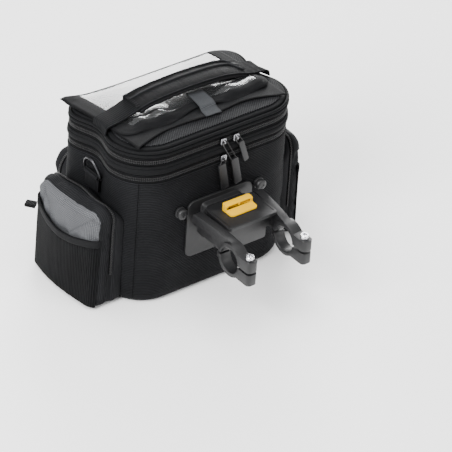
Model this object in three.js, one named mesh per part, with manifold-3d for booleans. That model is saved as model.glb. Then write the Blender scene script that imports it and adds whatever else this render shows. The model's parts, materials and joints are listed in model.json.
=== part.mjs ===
// Bicycle handlebar bag with a quick release bracket, in millimetres.
// +X is the rider's right, +Y the way the bicycle goes, +Z up. The origin is the middle of the flat base.
import * as THREE from 'three';
import { mergeVertices } from 'three/addons/utils/BufferGeometryUtils.js';
import Module from 'manifold-3d';

const wasm = await Module();
wasm.setup();

// Main body, seen from above: a box with round corners and sides drawn in at the middle.
const bagWidth = 240;
const bagDepth = 150;
const rearCornerRadius = 50;
const frontCornerRadius = 26;
const sideWaist = 8;
const clothWall = 2;
const paddedWall = 3;
const baseTuck = 12;
const frontDroop = 8;

// Heights of the layers at the rider's face, from the floor up.
const bodyHeight = 167;
const zipHeight = 11;
const bandHeight = 12;
const gussetHeight = 9;
const lidCrown = 4.5;
const lidEdgeRound = 2;

// Clearances: between pieces that touch, and round a piece that turns or slides.
const gap = 0.3;
const runningGap = 0.5;

// Piping and zips.
const pipingRadius = 2;
const zipRecess = 1.2;
const coilStand = 0.7;
const coilHeight = 5;

// Side pockets.
const pocketSetForward = 26;
const pocketLength = 119;
const pocketRearY = -bagDepth / 2 + pocketSetForward;
const pocketFrontY = pocketRearY + pocketLength;
const pocketDrop = 32;
const pocketHeight = bodyHeight - pocketDrop;
const pocketLift = 1;
const pocketDepth = 28;
const pocketOuterX = bagWidth / 2 + pocketDepth;
const pocketBulge = 7;
const pocketTopFrontRadius = 26;
const pocketTopRearRadius = 16;
const pocketFootRadius = 10;
const pocketRimGap = 1;
const pocketFootFlare = 4;
const pocketRootFall = 13;
const pocketFaceFall = 3;
const pocketFrontFall = 9;
const rightPocketShare = 0.75;
const pocketZipReach = 0.42;
const pocketZipWidth = 6;
const pocketZipThickness = 1.4;

// Elastic pocket on the outside of each side pocket.
const elasticDrop = 39;
const elasticHeight = pocketHeight - elasticDrop;
const elasticDip = 11;
const elasticStand = 5;
const elasticWall = 1.6;
const bindingHeight = 9;
const bindingWall = 2.6;
const loopLength = 13;
const loopWidth = 9;
const loopDrop = 52;
const loopHeight = pocketHeight - loopDrop;
const loopWall = 1.2;

// Front pocket.
const frontPocketInset = 16;
const frontPocketWidth = bagWidth - 2 * frontPocketInset;
const frontPocketDrop = 48;
const frontPocketHeight = bodyHeight - frontPocketDrop;
const frontPocketDepth = 30;
const frontPocketBulge = 6;
const frontPocketRadius = 24;
const frontPocketLift = 4;
const frontZipHeight = 6;

// Map sleeve on the lid.
const mapSideInset = 12;
const mapWidth = bagWidth - 2 * mapSideInset;
const mapFrontSetback = 6;
const mapDepth = 127;
const mapFrontY = bagDepth / 2 - mapFrontSetback;
const mapRearY = mapFrontY - mapDepth;
const mapWall = 1.1;
const mapBorder = 12;
const mapFrontBorder = 3;
const mapFrontRadius = 12;
const mapLeftFlare = 11;
const mapLeftReach = 7;
const mapRightShort = 6;
const mapRightTaper = 5;
const mapEndBorder = 18;
const mapTopSetback = 22;
const mapTopRearY = mapRearY + mapTopSetback;
const mapStand = 1.2;
const mapLift = 3.4;
const mapSwellReach = 56;
const mapRearRadius = 18;
const mapEdgeWave = 5;
const mapFrontDroop = 2;
const mapBendLength = 15;
const mapFrontBend = mapFrontY - mapBendLength;
const tabWidth = 21;
const tabWall = 1.4;
const tabX = 7;
const tabOverlap = 24;
const tabLength = 38;
const tabFrontY = mapTopRearY + tabOverlap;
const tabRearY = tabFrontY - tabLength;

// Carrying handle.
const handleY = 5;
const strapWidth = 30;
const strapWall = 1.6;
const strapFootInset = 7.7;
const strapFootX = bagWidth / 2 - strapFootInset;
const gripWidth = 34;
const gripThickness = 9;
const handleRise = 24;
const bindingRingLength = 7;
const bindingRingWall = 1.2;

// D rings at the sides.
const ringWire = 1.6;
const ringHalfSpan = 14.4;
const ringTall = 22;
const ringRise = 11;
const ringBarHeight = pocketHeight + ringRise;
const ringBarInset = 1.4;
const ringBarX = bagWidth / 2 - ringBarInset;
const ringSetForward = 57;
const ringY = pocketRearY + ringSetForward;
const ringLean = 12;
const ringTabWidth = 25;
const ringTabLength = 18.4;
const ringTabWall = 1.5;

// Zip sliders and pulls. Tilts are in degrees from hanging straight down, towards the rider's right.
const sliderWidth = 8;
const sliderHeight = 9;
const sliderDepth = 2.6;
const sliderPlaces = [
  {
    name: 'upper_left', x: 0, layer: 'upper',
    linkLength: 34, linkTilt: 29, tabLength: 34, tabTilt: 13, tabWidth: 9.6,
  },
  {
    name: 'upper_right', x: 18, layer: 'upper',
    linkLength: 11, linkTilt: 36, tabLength: 28, tabTilt: 19, tabWidth: 7,
  },
  {
    name: 'lower', x: 2, layer: 'lower',
    linkLength: 9.5, linkTilt: -20, tabLength: 34, tabTilt: 12, tabWidth: 9.6,
  },
];
const pullThickness = 2.4;
const bailRadius = 2;
const bailWire = 1;
const bailWidth = 1.8;
const linkWire = 0.65;
const linkWidth = 6.4;

// Adapter on the rider's face: a plate, a channel for the bracket's tongue, and two round bosses.
const adapterWidth = 92;
const adapterDrop = 39;
const adapterHeight = 76;
const adapterHigh = bodyHeight - adapterDrop;
const adapterLow = adapterHigh - adapterHeight;
const adapterPlate = 3;
const adapterRadius = 10;
const channelDrop = 6;
const channelHeight = 46;
const channelHigh = adapterHigh - channelDrop;
const channelLow = channelHigh - channelHeight;
const tongueHalfWidth = 21;
const tongueThickness = 4;
const neckHalfWidth = 15;
const channelWall = 6;
const lipThickness = 2.6;
const bossOffset = 10;
const bossX = adapterWidth / 2 + bossOffset;
const bossDrop = 9;
const bossZ = adapterHigh - bossDrop;
const bossRadius = 7;
const bossLength = 9;

// Bracket: a top plate, a block below it and an arm to the clamp at each side.
const plateHalfWidth = 34;
const plateReach = 19;
const plateDepth = 47;
const plateFrontY = -bagDepth / 2 - plateReach;
const plateRearY = plateFrontY - plateDepth;
const plateDrop = 3;
const plateTopZ = adapterHigh - plateDrop;
const plateThickness = 4;
const blockHalfWidth = 29;
const blockInset = 13;
const blockRearY = plateRearY + blockInset;
const blockRaise = 8;
const blockLow = channelLow + blockRaise;
const armX = 43.5;
const armInset = 3.5;
const armWidth = 10;
const armReach = 15;
const armFrontY = -bagDepth / 2 - armReach;
const armDrop = 2;
const armTopZ = plateTopZ - armDrop;
const armDepth = 14;
const webDrop = 13;
const webTopZ = plateTopZ - webDrop;
const barRadius = 15.9;
const barReach = 82;
const barY = -bagDepth / 2 - barReach;
const barDrop = 28;
const barZ = plateTopZ - barDrop;
const clampWall = 5;
const clampX = 39;
const clampWidth = 14;
const boltReach = 28;
const boltY = barY - boltReach;
const boltRadius = 2.6;
const boltHeadRadius = 5;
const boltHeadHeight = 5;
const lugHalfLength = 8;
const lugRise = 15;
const lugFall = 16;
const lugTopZ = barZ + lugRise;
const lugLowZ = barZ - lugFall;
const lugSplit = 3;

// Release lever on the plate.
const leverHalfWidth = 19;
const leverInset = 9;
const leverDepth = 21;
const leverFrontY = plateFrontY - leverInset;
const leverRearY = leverFrontY - leverDepth;
const leverBarDepth = 10;
const leverBarHeight = 9;
const leverTongue = 2.4;
const leverRecess = 3.5;

// Levels that follow from the sizes above.
const lowerZipTop = bodyHeight + zipHeight;
const bandTop = lowerZipTop + bandHeight;
const upperZipTop = bandTop + zipHeight;
const gussetTop = upperZipTop + gussetHeight;
const lidTop = gussetTop + lidCrown;
const sideHalf = bagWidth / 2;
const rearY = -bagDepth / 2;
const frontY = bagDepth / 2;

const look = {
  ribbedCloth: { color: 0x25272a, roughness: 0.85, metalness: 0 },
  smoothCloth: { color: 0x303236, roughness: 0.8, metalness: 0 },
  zipCloth: { color: 0x1b1c1e, roughness: 0.7, metalness: 0 },
  netting: { color: 0x202124, roughness: 0.9, metalness: 0 },
  webbing: { color: 0x232427, roughness: 0.85, metalness: 0 },
  elastic: { color: 0x1e2023, roughness: 0.9, metalness: 0 },
  greyTape: { color: 0x55585c, roughness: 0.8, metalness: 0 },
  clearSheet: { color: 0xaab0b6, roughness: 0.1, metalness: 0 },
  ringMetal: { color: 0x3a3b3d, roughness: 0.35, metalness: 0.8 },
  sliderMetal: { color: 0x6b6d70, roughness: 0.25, metalness: 0.9 },
  blackPlastic: { color: 0x1d1e20, roughness: 0.45, metalness: 0 },
  yellowPlastic: { color: 0xf2c200, roughness: 0.4, metalness: 0 },
  boltSteel: { color: 0x9a9da0, roughness: 0.3, metalness: 1 },
};

const bag = new THREE.Group();

function add(name, geometry, finish, parent = bag) {
  const mesh = new THREE.Mesh(geometry, new THREE.MeshStandardMaterial(look[finish]));
  mesh.name = name;
  parent.add(mesh);
  return mesh;
}

// Turns triangles the right way out by the sign of the volume that they close.
function closedGeometry(points, faces) {
  let volume = 0;
  for (const [a, b, c] of faces) {
    volume += points[a].dot(new THREE.Vector3().crossVectors(points[b], points[c]));
  }
  const order = volume > 0 ? faces : faces.map(([a, b, c]) => [a, c, b]);
  const geometry = new THREE.BufferGeometry();
  const numbers = points.flatMap((p) => p.toArray());
  geometry.setAttribute('position', new THREE.Float32BufferAttribute(numbers, 3));
  geometry.setIndex(order.flat());
  geometry.computeVertexNormals();
  return geometry;
}

// A solid through a row of rings of equal count. Its two ends are capped, or joined in a closed loop.
function loft(rings, isLoop = false) {
  const count = rings[0].length;
  const points = rings.flat();
  const faces = [];
  const bands = isLoop ? rings.length : rings.length - 1;
  for (let i = 0; i < bands; i += 1) {
    const here = i * count;
    const next = ((i + 1) % rings.length) * count;
    for (let j = 0; j < count; j += 1) {
      const k = (j + 1) % count;
      faces.push([here + j, here + k, next + k], [here + j, next + k, next + j]);
    }
  }
  if (!isLoop) {
    for (const [start, turn] of [[0, -1], [(rings.length - 1) * count, 1]]) {
      const ring = points.slice(start, start + count);
      const middle = ring.reduce((sum, p) => sum.add(p), new THREE.Vector3()).divideScalar(count);
      points.push(middle);
      for (let j = 0; j < count; j += 1) {
        const pair = [start + j, start + ((j + 1) % count)];
        faces.push(turn > 0 ? [...pair, points.length - 1] : [pair[1], pair[0], points.length - 1]);
      }
    }
  }
  return closedGeometry(points, faces);
}

function toManifold(geometry) {
  const bare = geometry.clone();
  bare.deleteAttribute('normal');
  bare.deleteAttribute('uv');
  const merged = mergeVertices(bare, 1e-4);
  return new wasm.Manifold(new wasm.Mesh({
    numProp: 3,
    vertProperties: new Float32Array(merged.attributes.position.array),
    triVerts: new Uint32Array(merged.index.array),
  }));
}

function fromManifold(solid) {
  const mesh = solid.getMesh();
  const geometry = new THREE.BufferGeometry();
  geometry.setAttribute('position', new THREE.BufferAttribute(new Float32Array(mesh.vertProperties), 3));
  geometry.setIndex(new THREE.BufferAttribute(new Uint32Array(mesh.triVerts), 1));
  geometry.computeVertexNormals();
  return geometry;
}

function join(first, ...others) {
  return fromManifold(others.reduce((sum, piece) => sum.add(toManifold(piece)), toManifold(first)));
}

function cut(body, ...tools) {
  return fromManifold(tools.reduce((rest, tool) => rest.subtract(toManifold(tool)), toManifold(body)));
}

// A box between two corners.
function box(low, high) {
  const size = high.map((value, axis) => value - low[axis]);
  return new THREE.BoxGeometry(...size).translate(...low.map((value, axis) => value + size[axis] / 2));
}

// A flat outline in Y and Z, drawn out along X about a middle place.
function slabAlongX(outline, middleX, width, curveSegments = 8) {
  const geometry = new THREE.ExtrudeGeometry(outline, { depth: width, bevelEnabled: false, curveSegments });
  geometry.applyMatrix4(new THREE.Matrix4().set(0, 0, 1, 0, 1, 0, 0, 0, 0, 1, 0, 0, 0, 0, 0, 1));
  return geometry.translate(middleX - width / 2, 0, 0);
}

function mirrored(geometry) {
  const copy = geometry.clone().applyMatrix4(new THREE.Matrix4().makeScale(-1, 1, 1));
  const index = copy.index ? copy.index.array : [...Array(copy.attributes.position.count).keys()];
  const turned = [];
  for (let i = 0; i < index.length; i += 3) {
    turned.push(index[i], index[i + 2], index[i + 1]);
  }
  copy.setIndex(turned);
  copy.computeVertexNormals();
  return copy;
}

function addPair(name, geometry, finish) {
  add(`${name}_right`, geometry, finish);
  add(`${name}_left`, mirrored(geometry), finish);
}

// The bag's outline from above, moved inwards by an inset. Every outline has as many points, in one order.
const rearSteps = 5;
const frontSteps = 3;
const sideSteps = 6;
const faceSteps = 4;

function bagOutline(inset) {
  const half = sideHalf - inset;
  const rearRadius = Math.max(rearCornerRadius - inset, 3);
  const frontRadius = Math.max(frontCornerRadius - inset, 3);
  const rear = rearY + inset + rearRadius;
  const front = frontY - inset - frontRadius;
  const corners = [
    { x: half - rearRadius, y: rear, radius: rearRadius, turn: -90, steps: rearSteps },
    { x: half - frontRadius, y: front, radius: frontRadius, turn: 0, steps: frontSteps },
    { x: -half + frontRadius, y: front, radius: frontRadius, turn: 90, steps: frontSteps },
    { x: -half + rearRadius, y: rear, radius: rearRadius, turn: 180, steps: rearSteps },
  ];
  const points = [];
  corners.forEach((corner, side) => {
    for (let i = 0; i <= corner.steps; i += 1) {
      const angle = THREE.MathUtils.degToRad(corner.turn + (90 * i) / corner.steps);
      points.push(new THREE.Vector2(
        corner.x + corner.radius * Math.cos(angle),
        corner.y + corner.radius * Math.sin(angle),
      ));
    }
    const from = points[points.length - 1];
    const next = corners[(side + 1) % 4];
    const angle = THREE.MathUtils.degToRad(next.turn);
    const to = new THREE.Vector2(
      next.x + next.radius * Math.cos(angle),
      next.y + next.radius * Math.sin(angle),
    );
    const isFlank = side % 2 === 0;
    const steps = isFlank ? sideSteps : faceSteps;
    for (let i = 1; i < steps; i += 1) {
      const share = i / steps;
      const point = from.clone().lerp(to, share);
      if (isFlank) {
        point.x -= Math.sign(point.x) * sideWaist * Math.sin(Math.PI * share) ** 2;
      }
      points.push(point);
    }
  });
  return points;
}

// How far a level that is set at the rider's face has come down at a place nearer the front.
function droop(y) {
  return frontDroop * THREE.MathUtils.clamp((y - rearY) / bagDepth, 0, 1);
}

function ringAt(inset, level, share = 1) {
  return bagOutline(inset).map((p) => new THREE.Vector3(p.x, p.y, level - share * droop(p.y)));
}

// A band that follows the outline. Its section lists insets and levels, its span the points it covers.
function bandAround(section, span = null) {
  const outlines = section.map(({ inset, level }) => ringAt(inset, level));
  const total = outlines[0].length;
  const places = span ?? [...Array(total).keys()];
  const rings = places.map((place) => outlines.map((outline) => outline[(place + total) % total]));
  return loft(rings, span === null);
}

function bodyShell() {
  const sections = [
    { height: 0, tuck: 1 },
    { height: 0.015, tuck: 0.42 },
    { height: 0.07, tuck: 0.08 },
    { height: 0.5, tuck: 0 },
    { height: 1, tuck: 0.08 },
  ];
  const outer = sections.map(({ height, tuck }) => ringAt(tuck * baseTuck, height * bodyHeight, height));
  const inner = sections.slice(1).map(({ height, tuck }) => {
    const level = Math.max(height * bodyHeight, paddedWall);
    return ringAt(tuck * baseTuck + clothWall, level, height);
  });
  return loft([...outer, ...inner.reverse()]);
}

// A zip tape with its coil standing out along the middle.
function zipSection(low, high) {
  const middle = (low + high) / 2;
  return [
    { inset: zipRecess, level: low + gap / 2 },
    { inset: zipRecess - coilStand, level: middle - coilHeight / 2 },
    { inset: zipRecess - coilStand, level: middle + coilHeight / 2 },
    { inset: zipRecess, level: high - gap / 2 },
    { inset: zipRecess + clothWall, level: high - gap / 2 },
    { inset: zipRecess + clothWall, level: low + gap / 2 },
  ];
}

function bandSection(low, high, bulge) {
  const middle = (low + high) / 2;
  return [
    { inset: 0.4, level: low + gap / 2 },
    { inset: -bulge, level: middle },
    { inset: 0.4, level: high - gap / 2 },
    { inset: clothWall, level: high - gap / 2 },
    { inset: clothWall, level: low + gap / 2 },
  ];
}

// Places on the outline: the straight front runs between the two front corners.
const frontStart = rearSteps + sideSteps + frontSteps;
const frontEnd = frontStart + faceSteps;
const outlineCount = 2 * (rearSteps + frontSteps + sideSteps + faceSteps);

function span(from, to) {
  return [...Array(to - from + 1).keys()].map((step) => from + step);
}

// Moves the end sections of an open band inwards by half a gap, so that two bands meet without touching.
function hingeStrip() {
  const strip = bandAround(bandSection(bandTop, upperZipTop, 0), span(frontStart, frontEnd));
  const half = (sideHalf - frontCornerRadius);
  return strip.scale((half - gap) / half, 1, 1);
}

// The lid's top surface, crowned in the middle.
function lidSurface(x, y) {
  const crown = (1 - (x / sideHalf) ** 2) * (1 - (y / frontY) ** 2);
  return gussetTop + lidEdgeRound + (lidCrown - lidEdgeRound) * Math.max(crown, 0) - droop(y);
}

function surfaceRing(outline, surface, rise) {
  return outline.map((p) => new THREE.Vector3(p.x, p.y, surface(p.x, p.y) + rise));
}

const pipingSeat = 2 * pipingRadius + gap;
const lidRings = [60, 34, 10];

function lidShell() {
  const top = lidRings.map((inset) => surfaceRing(bagOutline(inset), lidSurface, 0));
  const edge = [
    { inset: pipingSeat, level: gussetTop + lidEdgeRound - 0.6 },
    { inset: pipingSeat, level: gussetTop - pipingSeat },
    { inset: 0.5, level: gussetTop - pipingSeat },
    { inset: -0.6, level: gussetTop - pipingSeat - 1.4 },
    { inset: 0, level: upperZipTop + gap / 2 },
    { inset: clothWall, level: upperZipTop + gap / 2 },
    { inset: pipingSeat + clothWall, level: gussetTop - pipingSeat - clothWall },
    { inset: pipingSeat + clothWall, level: gussetTop + lidEdgeRound - paddedWall },
  ].map(({ inset, level }) => ringAt(inset, level));
  const under = [...lidRings].reverse().map((inset) => (
    surfaceRing(bagOutline(inset), lidSurface, -paddedWall)
  ));
  return loft([...top, ...edge, ...under]);
}

function lidPiping() {
  const sides = 5;
  const section = [...Array(sides).keys()].map((step) => {
    const angle = (2 * Math.PI * step) / sides;
    return {
      inset: pipingRadius - gap - pipingRadius * Math.cos(angle),
      level: gussetTop - pipingRadius + gap / 2 + pipingRadius * Math.sin(angle),
    };
  });
  return bandAround(section);
}

// A sheet that lies on the lid: the same outlines as the lid's rings, one wall thick.
function lidMeshPanel() {
  const wall = 1;
  const top = lidRings.map((inset) => surfaceRing(bagOutline(inset), lidSurface, gap + wall));
  const under = [...lidRings].reverse().map((inset) => surfaceRing(bagOutline(inset), lidSurface, gap));
  return { geometry: loft([...top, ...under]), top: gap + wall };
}

// Zip that closes three sides of the lid, from one front corner round the rider's face to the other.
function threeSides(section) {
  return bandAround(section, span(frontEnd, frontStart + outlineCount));
}

add('body_shell', bodyShell(), 'ribbedCloth');
add('lower_zip', bandAround(zipSection(bodyHeight, lowerZipTop)), 'zipCloth');
add('middle_band', bandAround(bandSection(lowerZipTop, bandTop, 0.8)), 'smoothCloth');
add('upper_zip', threeSides(zipSection(bandTop, upperZipTop)), 'zipCloth');
add('lid_hinge', hingeStrip(), 'smoothCloth');
add('lid', lidShell(), 'smoothCloth');
add('lid_piping', lidPiping(), 'smoothCloth');
const netting = lidMeshPanel();
add('lid_mesh_panel', netting.geometry, 'netting');

// Half width of the body's side at a depth, at full girth.
function flankX(y) {
  const rearEnd = rearY + rearCornerRadius;
  const frontStartY = frontY - frontCornerRadius;
  const corner = (radius, past) => sideHalf - radius + Math.sqrt(Math.max(radius ** 2 - past ** 2, 0));
  if (y < rearEnd) {
    return corner(rearCornerRadius, rearEnd - y);
  }
  if (y > frontStartY) {
    return corner(frontCornerRadius, y - frontStartY);
  }
  return sideHalf - sideWaist * Math.sin((Math.PI * (y - rearEnd)) / (frontStartY - rearEnd)) ** 2;
}

// A side pocket's outline in Y and Z, moved inwards by an inset, from the rear foot round over the top.
function pocketOutline(inset) {
  const low = pocketLift + inset;
  const high = pocketHeight - inset;
  const rear = pocketRearY + inset;
  const front = pocketFrontY - inset;
  const frontTop = Math.max(pocketTopFrontRadius - inset, 2);
  const rearTop = Math.max(pocketTopRearRadius - inset, 2);
  const foot = Math.max(pocketFootRadius - inset, 2);
  const corners = [
    { y: front - foot, z: low + foot, radius: foot, turn: -90 },
    { y: front - frontTop, z: high - frontTop, radius: frontTop, turn: 0 },
    { y: rear + rearTop, z: high - rearTop, radius: rearTop, turn: 90 },
    { y: rear + foot, z: low + foot, radius: foot, turn: 180 },
  ];
  const steps = 3;
  const between = 4;
  const points = [];
  corners.forEach((corner, side) => {
    for (let i = 0; i <= steps; i += 1) {
      const angle = THREE.MathUtils.degToRad(corner.turn + (90 * i) / steps);
      points.push(new THREE.Vector2(
        corner.y + corner.radius * Math.cos(angle),
        corner.z + corner.radius * Math.sin(angle),
      ));
    }
    const next = corners[(side + 1) % 4];
    const angle = THREE.MathUtils.degToRad(next.turn);
    const to = new THREE.Vector2(
      next.y + next.radius * Math.cos(angle),
      next.z + next.radius * Math.sin(angle),
    );
    const from = points[points.length - 1].clone();
    for (let i = 1; i < between; i += 1) {
      points.push(from.clone().lerp(to, i / between));
    }
  });
  return points;
}

function pocketAlong(y) {
  return THREE.MathUtils.clamp((y - pocketRearY) / pocketLength, 0, 1);
}

// Where the pocket's outer face stands: fullest at the middle of its length, and further out at its foot.
function pocketFaceX(y, z) {
  const up = THREE.MathUtils.clamp(z / pocketHeight, 0, 1);
  return pocketOuterX + pocketFootFlare * (1 - up) + pocketBulge * Math.sin(Math.PI * pocketAlong(y));
}

// How far the pocket's top comes down towards the body, towards the outer face and towards the front.
function pocketFall(reach, y, z) {
  const inner = Math.max(1 - reach / pocketZipReach, 0);
  const outer = Math.max((reach - pocketZipReach) / (1 - pocketZipReach), 0);
  const fall = pocketRootFall * inner + pocketFaceFall * outer + pocketFrontFall * pocketAlong(y);
  return fall * (z / pocketHeight) ** 2;
}

function pocketRing(reach, inset, pull) {
  return pocketOutline(inset).map(({ x: y, y: z }) => {
    const root = flankX(y) + pocketRimGap;
    const x = root + (pocketFaceX(y, z) - root) * reach - pull;
    return new THREE.Vector3(x, y, z - pocketFall(reach, y, z));
  });
}

const pocketSections = [
  { reach: 0, inset: 0 },
  { reach: pocketZipReach, inset: 0 },
  { reach: 0.88, inset: 2 },
  { reach: 1, inset: 9 },
  { reach: 1, inset: 30 },
];

function sidePocket() {
  const outer = pocketSections.map(({ reach, inset }) => pocketRing(reach, inset, 0));
  const inner = pocketSections.map(({ reach, inset }, place) => (
    pocketRing(reach, inset + clothWall, place === 0 ? 0 : clothWall)
  ));
  return loft([...outer.reverse(), ...inner]);
}

// A zip that runs from the rear foot over the top to the front, round the pocket.
function pocketZip() {
  const at = (reach, inset) => pocketRing(reach, inset, 0);
  const halfReach = pocketZipWidth / 2 / (pocketOuterX - sideHalf + sideWaist);
  const inside = -0.8;
  const outside = inside - pocketZipThickness;
  const section = [
    at(pocketZipReach - halfReach, inside),
    at(pocketZipReach, inside),
    at(pocketZipReach + halfReach, inside),
    at(pocketZipReach + halfReach * 0.6, outside),
    at(pocketZipReach, outside),
    at(pocketZipReach - halfReach * 0.6, outside),
  ];
  const first = 5;
  const last = 19;
  return loft(span(first, last).map((place) => section.map((ring) => ring[place])));
}

// The right pocket is emptier than the left one, so each of its pieces stands out less.
function addPocketPair(name, geometry, finish) {
  add(`${name}_left`, mirrored(geometry), finish);
  const emptier = geometry.clone();
  const { position } = emptier.attributes;
  for (let i = 0; i < position.count; i += 1) {
    const root = flankX(position.getY(i)) + pocketRimGap;
    position.setX(i, root + (position.getX(i) - root) * rightPocketShare);
  }
  emptier.computeVertexNormals();
  add(`${name}_right`, emptier, finish);
}

addPocketPair('side_pocket', sidePocket(), 'ribbedCloth');
addPocketPair('pocket_zip', pocketZip(), 'zipCloth');

// The plan path of the elastic pocket: round the outer face, from the rear edge to the front edge.
function elasticPath(stand, z) {
  const faces = pocketSections.slice(2);
  const rear = faces.map(({ reach, inset }) => ({ reach, y: pocketRearY + inset }));
  const front = faces.map(({ reach, inset }) => ({ reach, y: pocketFrontY - inset })).reverse();
  const middle = { reach: 1, y: (pocketRearY + pocketFrontY) / 2 };
  const path = [...rear, middle, ...front].map(({ reach, y }) => {
    const root = flankX(y) + pocketRimGap;
    return new THREE.Vector2(root + (pocketFaceX(y, z) - root) * reach, y);
  });
  return path.map((point, place) => {
    const before = path[Math.max(place - 1, 0)];
    const after = path[Math.min(place + 1, path.length - 1)];
    const along = after.clone().sub(before).normalize();
    return point.clone().add(new THREE.Vector2(along.y, -along.x).multiplyScalar(stand));
  });
}

// The elastic's top edge dips in the middle and stands off the pocket there.
function elasticTop(share) {
  return elasticHeight - elasticDip * Math.sin(Math.PI * share) ** 1.2;
}

function elasticStandOff(share, height) {
  return gap + elasticStand * Math.sin(Math.PI * share) * (0.2 + 0.8 * height);
}

function elasticWallBetween(low, high, inside, wall, rows) {
  const count = elasticPath(0, 0).length;
  const rings = [];
  for (let place = 0; place < count; place += 1) {
    const share = place / (count - 1);
    const ring = [];
    const side = (offset, rowOrder) => rowOrder.forEach((row) => {
      const z = low(share) + (high(share) - low(share)) * (row / rows);
      const height = z / elasticTop(share);
      const p = elasticPath(elasticStandOff(share, height) + offset, z)[place];
      ring.push(new THREE.Vector3(p.x, p.y, z));
    });
    const upward = [...Array(rows + 1).keys()];
    side(inside, upward);
    side(inside + wall, [...upward].reverse());
    rings.push(ring);
  }
  return loft(rings);
}

const elasticFoot = () => pocketLift + pocketFootRadius * 0.6;
const bindingFoot = (share) => elasticTop(share) - bindingHeight;
addPocketPair(
  'elastic_pocket',
  elasticWallBetween(elasticFoot, (share) => bindingFoot(share) - 2 * gap, 0, elasticWall, 3),
  'elastic',
);
addPocketPair('elastic_binding', elasticWallBetween(bindingFoot, elasticTop, 0, bindingWall, 1), 'webbing');

// A folded tape loop that stands out of the front edge of each side pocket.
function pocketLoop() {
  const outline = new THREE.Shape();
  const radius = 2.2;
  outline.moveTo(0, -radius);
  outline.lineTo(loopLength - radius, -radius);
  outline.absarc(loopLength - radius, 0, radius, -Math.PI / 2, Math.PI / 2, false);
  outline.lineTo(0, radius);
  const hole = new THREE.Path();
  const inner = radius - loopWall;
  hole.moveTo(loopWall, -inner);
  hole.lineTo(loopLength - radius, -inner);
  hole.absarc(loopLength - radius, 0, inner, -Math.PI / 2, Math.PI / 2, false);
  hole.lineTo(loopWall, inner);
  outline.holes.push(hole);
  const settings = { depth: loopWidth, bevelEnabled: false, curveSegments: 3 };
  const tape = new THREE.ExtrudeGeometry(outline, settings);
  const seat = elasticPath(gap * 2, loopHeight).at(-2);
  tape.translate(gap * 3, 0, -loopWidth / 2).rotateX(Math.PI / 2);
  return tape.rotateZ(THREE.MathUtils.degToRad(52)).translate(
    seat.x + elasticWall + radius / 2,
    seat.y + elasticWall + radius / 2,
    loopHeight,
  );
}

addPocketPair('pocket_loop', pocketLoop(), 'webbing');

// The front pocket: a tub lying against the front face.
function frontOutline(inset) {
  const low = frontPocketLift + inset;
  const half = frontPocketWidth / 2 - inset;
  const radius = Math.max(frontPocketRadius - inset, 2);
  const foot = Math.max(pocketFootRadius - inset, 2);
  const high = frontPocketHeight - inset;
  const corners = [
    { x: half - foot, z: low + foot, radius: foot, turn: -90 },
    { x: half - radius, z: high - radius, radius, turn: 0 },
    { x: -half + radius, z: high - radius, radius, turn: 90 },
    { x: -half + foot, z: low + foot, radius: foot, turn: 180 },
  ];
  const steps = 4;
  const points = [];
  corners.forEach((corner, side) => {
    for (let i = 0; i <= steps; i += 1) {
      const angle = THREE.MathUtils.degToRad(corner.turn + (90 * i) / steps);
      points.push(new THREE.Vector2(
        corner.x + corner.radius * Math.cos(angle),
        corner.z + corner.radius * Math.sin(angle),
      ));
    }
    if (side % 2 === 1) {
      const from = points[points.length - 1].clone();
      const to = new THREE.Vector2(-from.x, from.y);
      for (let i = 1; i < faceSteps; i += 1) {
        points.push(from.clone().lerp(to, i / faceSteps));
      }
    }
  });
  return points;
}

// How far forward the body's front face stands at a place across it.
function frontFaceY(x) {
  const past = Math.max(Math.abs(x) - (sideHalf - frontCornerRadius), 0);
  return frontY - frontCornerRadius + Math.sqrt(Math.max(frontCornerRadius ** 2 - past ** 2, 0));
}

function frontRing(reach, inset, pull) {
  return frontOutline(inset).map(({ x, y: z }) => {
    const across = x / frontPocketWidth + 0.5;
    const swell = frontPocketBulge * Math.sin(Math.PI * THREE.MathUtils.clamp(across, 0, 1));
    const root = frontFaceY(x) + gap;
    return new THREE.Vector3(x, root + (frontY + frontPocketDepth + swell - root) * reach - pull, z);
  });
}

const frontSections = [
  { reach: 0, inset: 0 },
  { reach: 0.55, inset: 0 },
  { reach: 0.92, inset: 3 },
  { reach: 1, inset: 10 },
  { reach: 1, inset: 36 },
];

function frontPocket() {
  const outer = frontSections.map(({ reach, inset }) => frontRing(reach, inset, 0));
  const inner = frontSections.map(({ reach, inset }, place) => (
    frontRing(reach, inset + clothWall, place === 0 ? 0 : clothWall)
  ));
  return loft([...outer.reverse(), ...inner]);
}

// The front pocket's zip goes over its top, from one side to the other.
function frontZip() {
  const halfReach = frontZipHeight / 2 / frontPocketDepth;
  const inside = -0.8;
  const middle = 0.55;
  const low = frontRing(middle - halfReach, inside, 0);
  const high = frontRing(middle + halfReach, inside, 0);
  const highOut = frontRing(middle + halfReach * 0.6, inside - pocketZipThickness, 0);
  const lowOut = frontRing(middle - halfReach * 0.6, inside - pocketZipThickness, 0);
  return loft(span(5, 17).map((place) => [low[place], high[place], highOut[place], lowOut[place]]));
}

add('front_pocket', frontPocket(), 'ribbedCloth');
add('front_zip', frontZip(), 'zipCloth');

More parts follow.
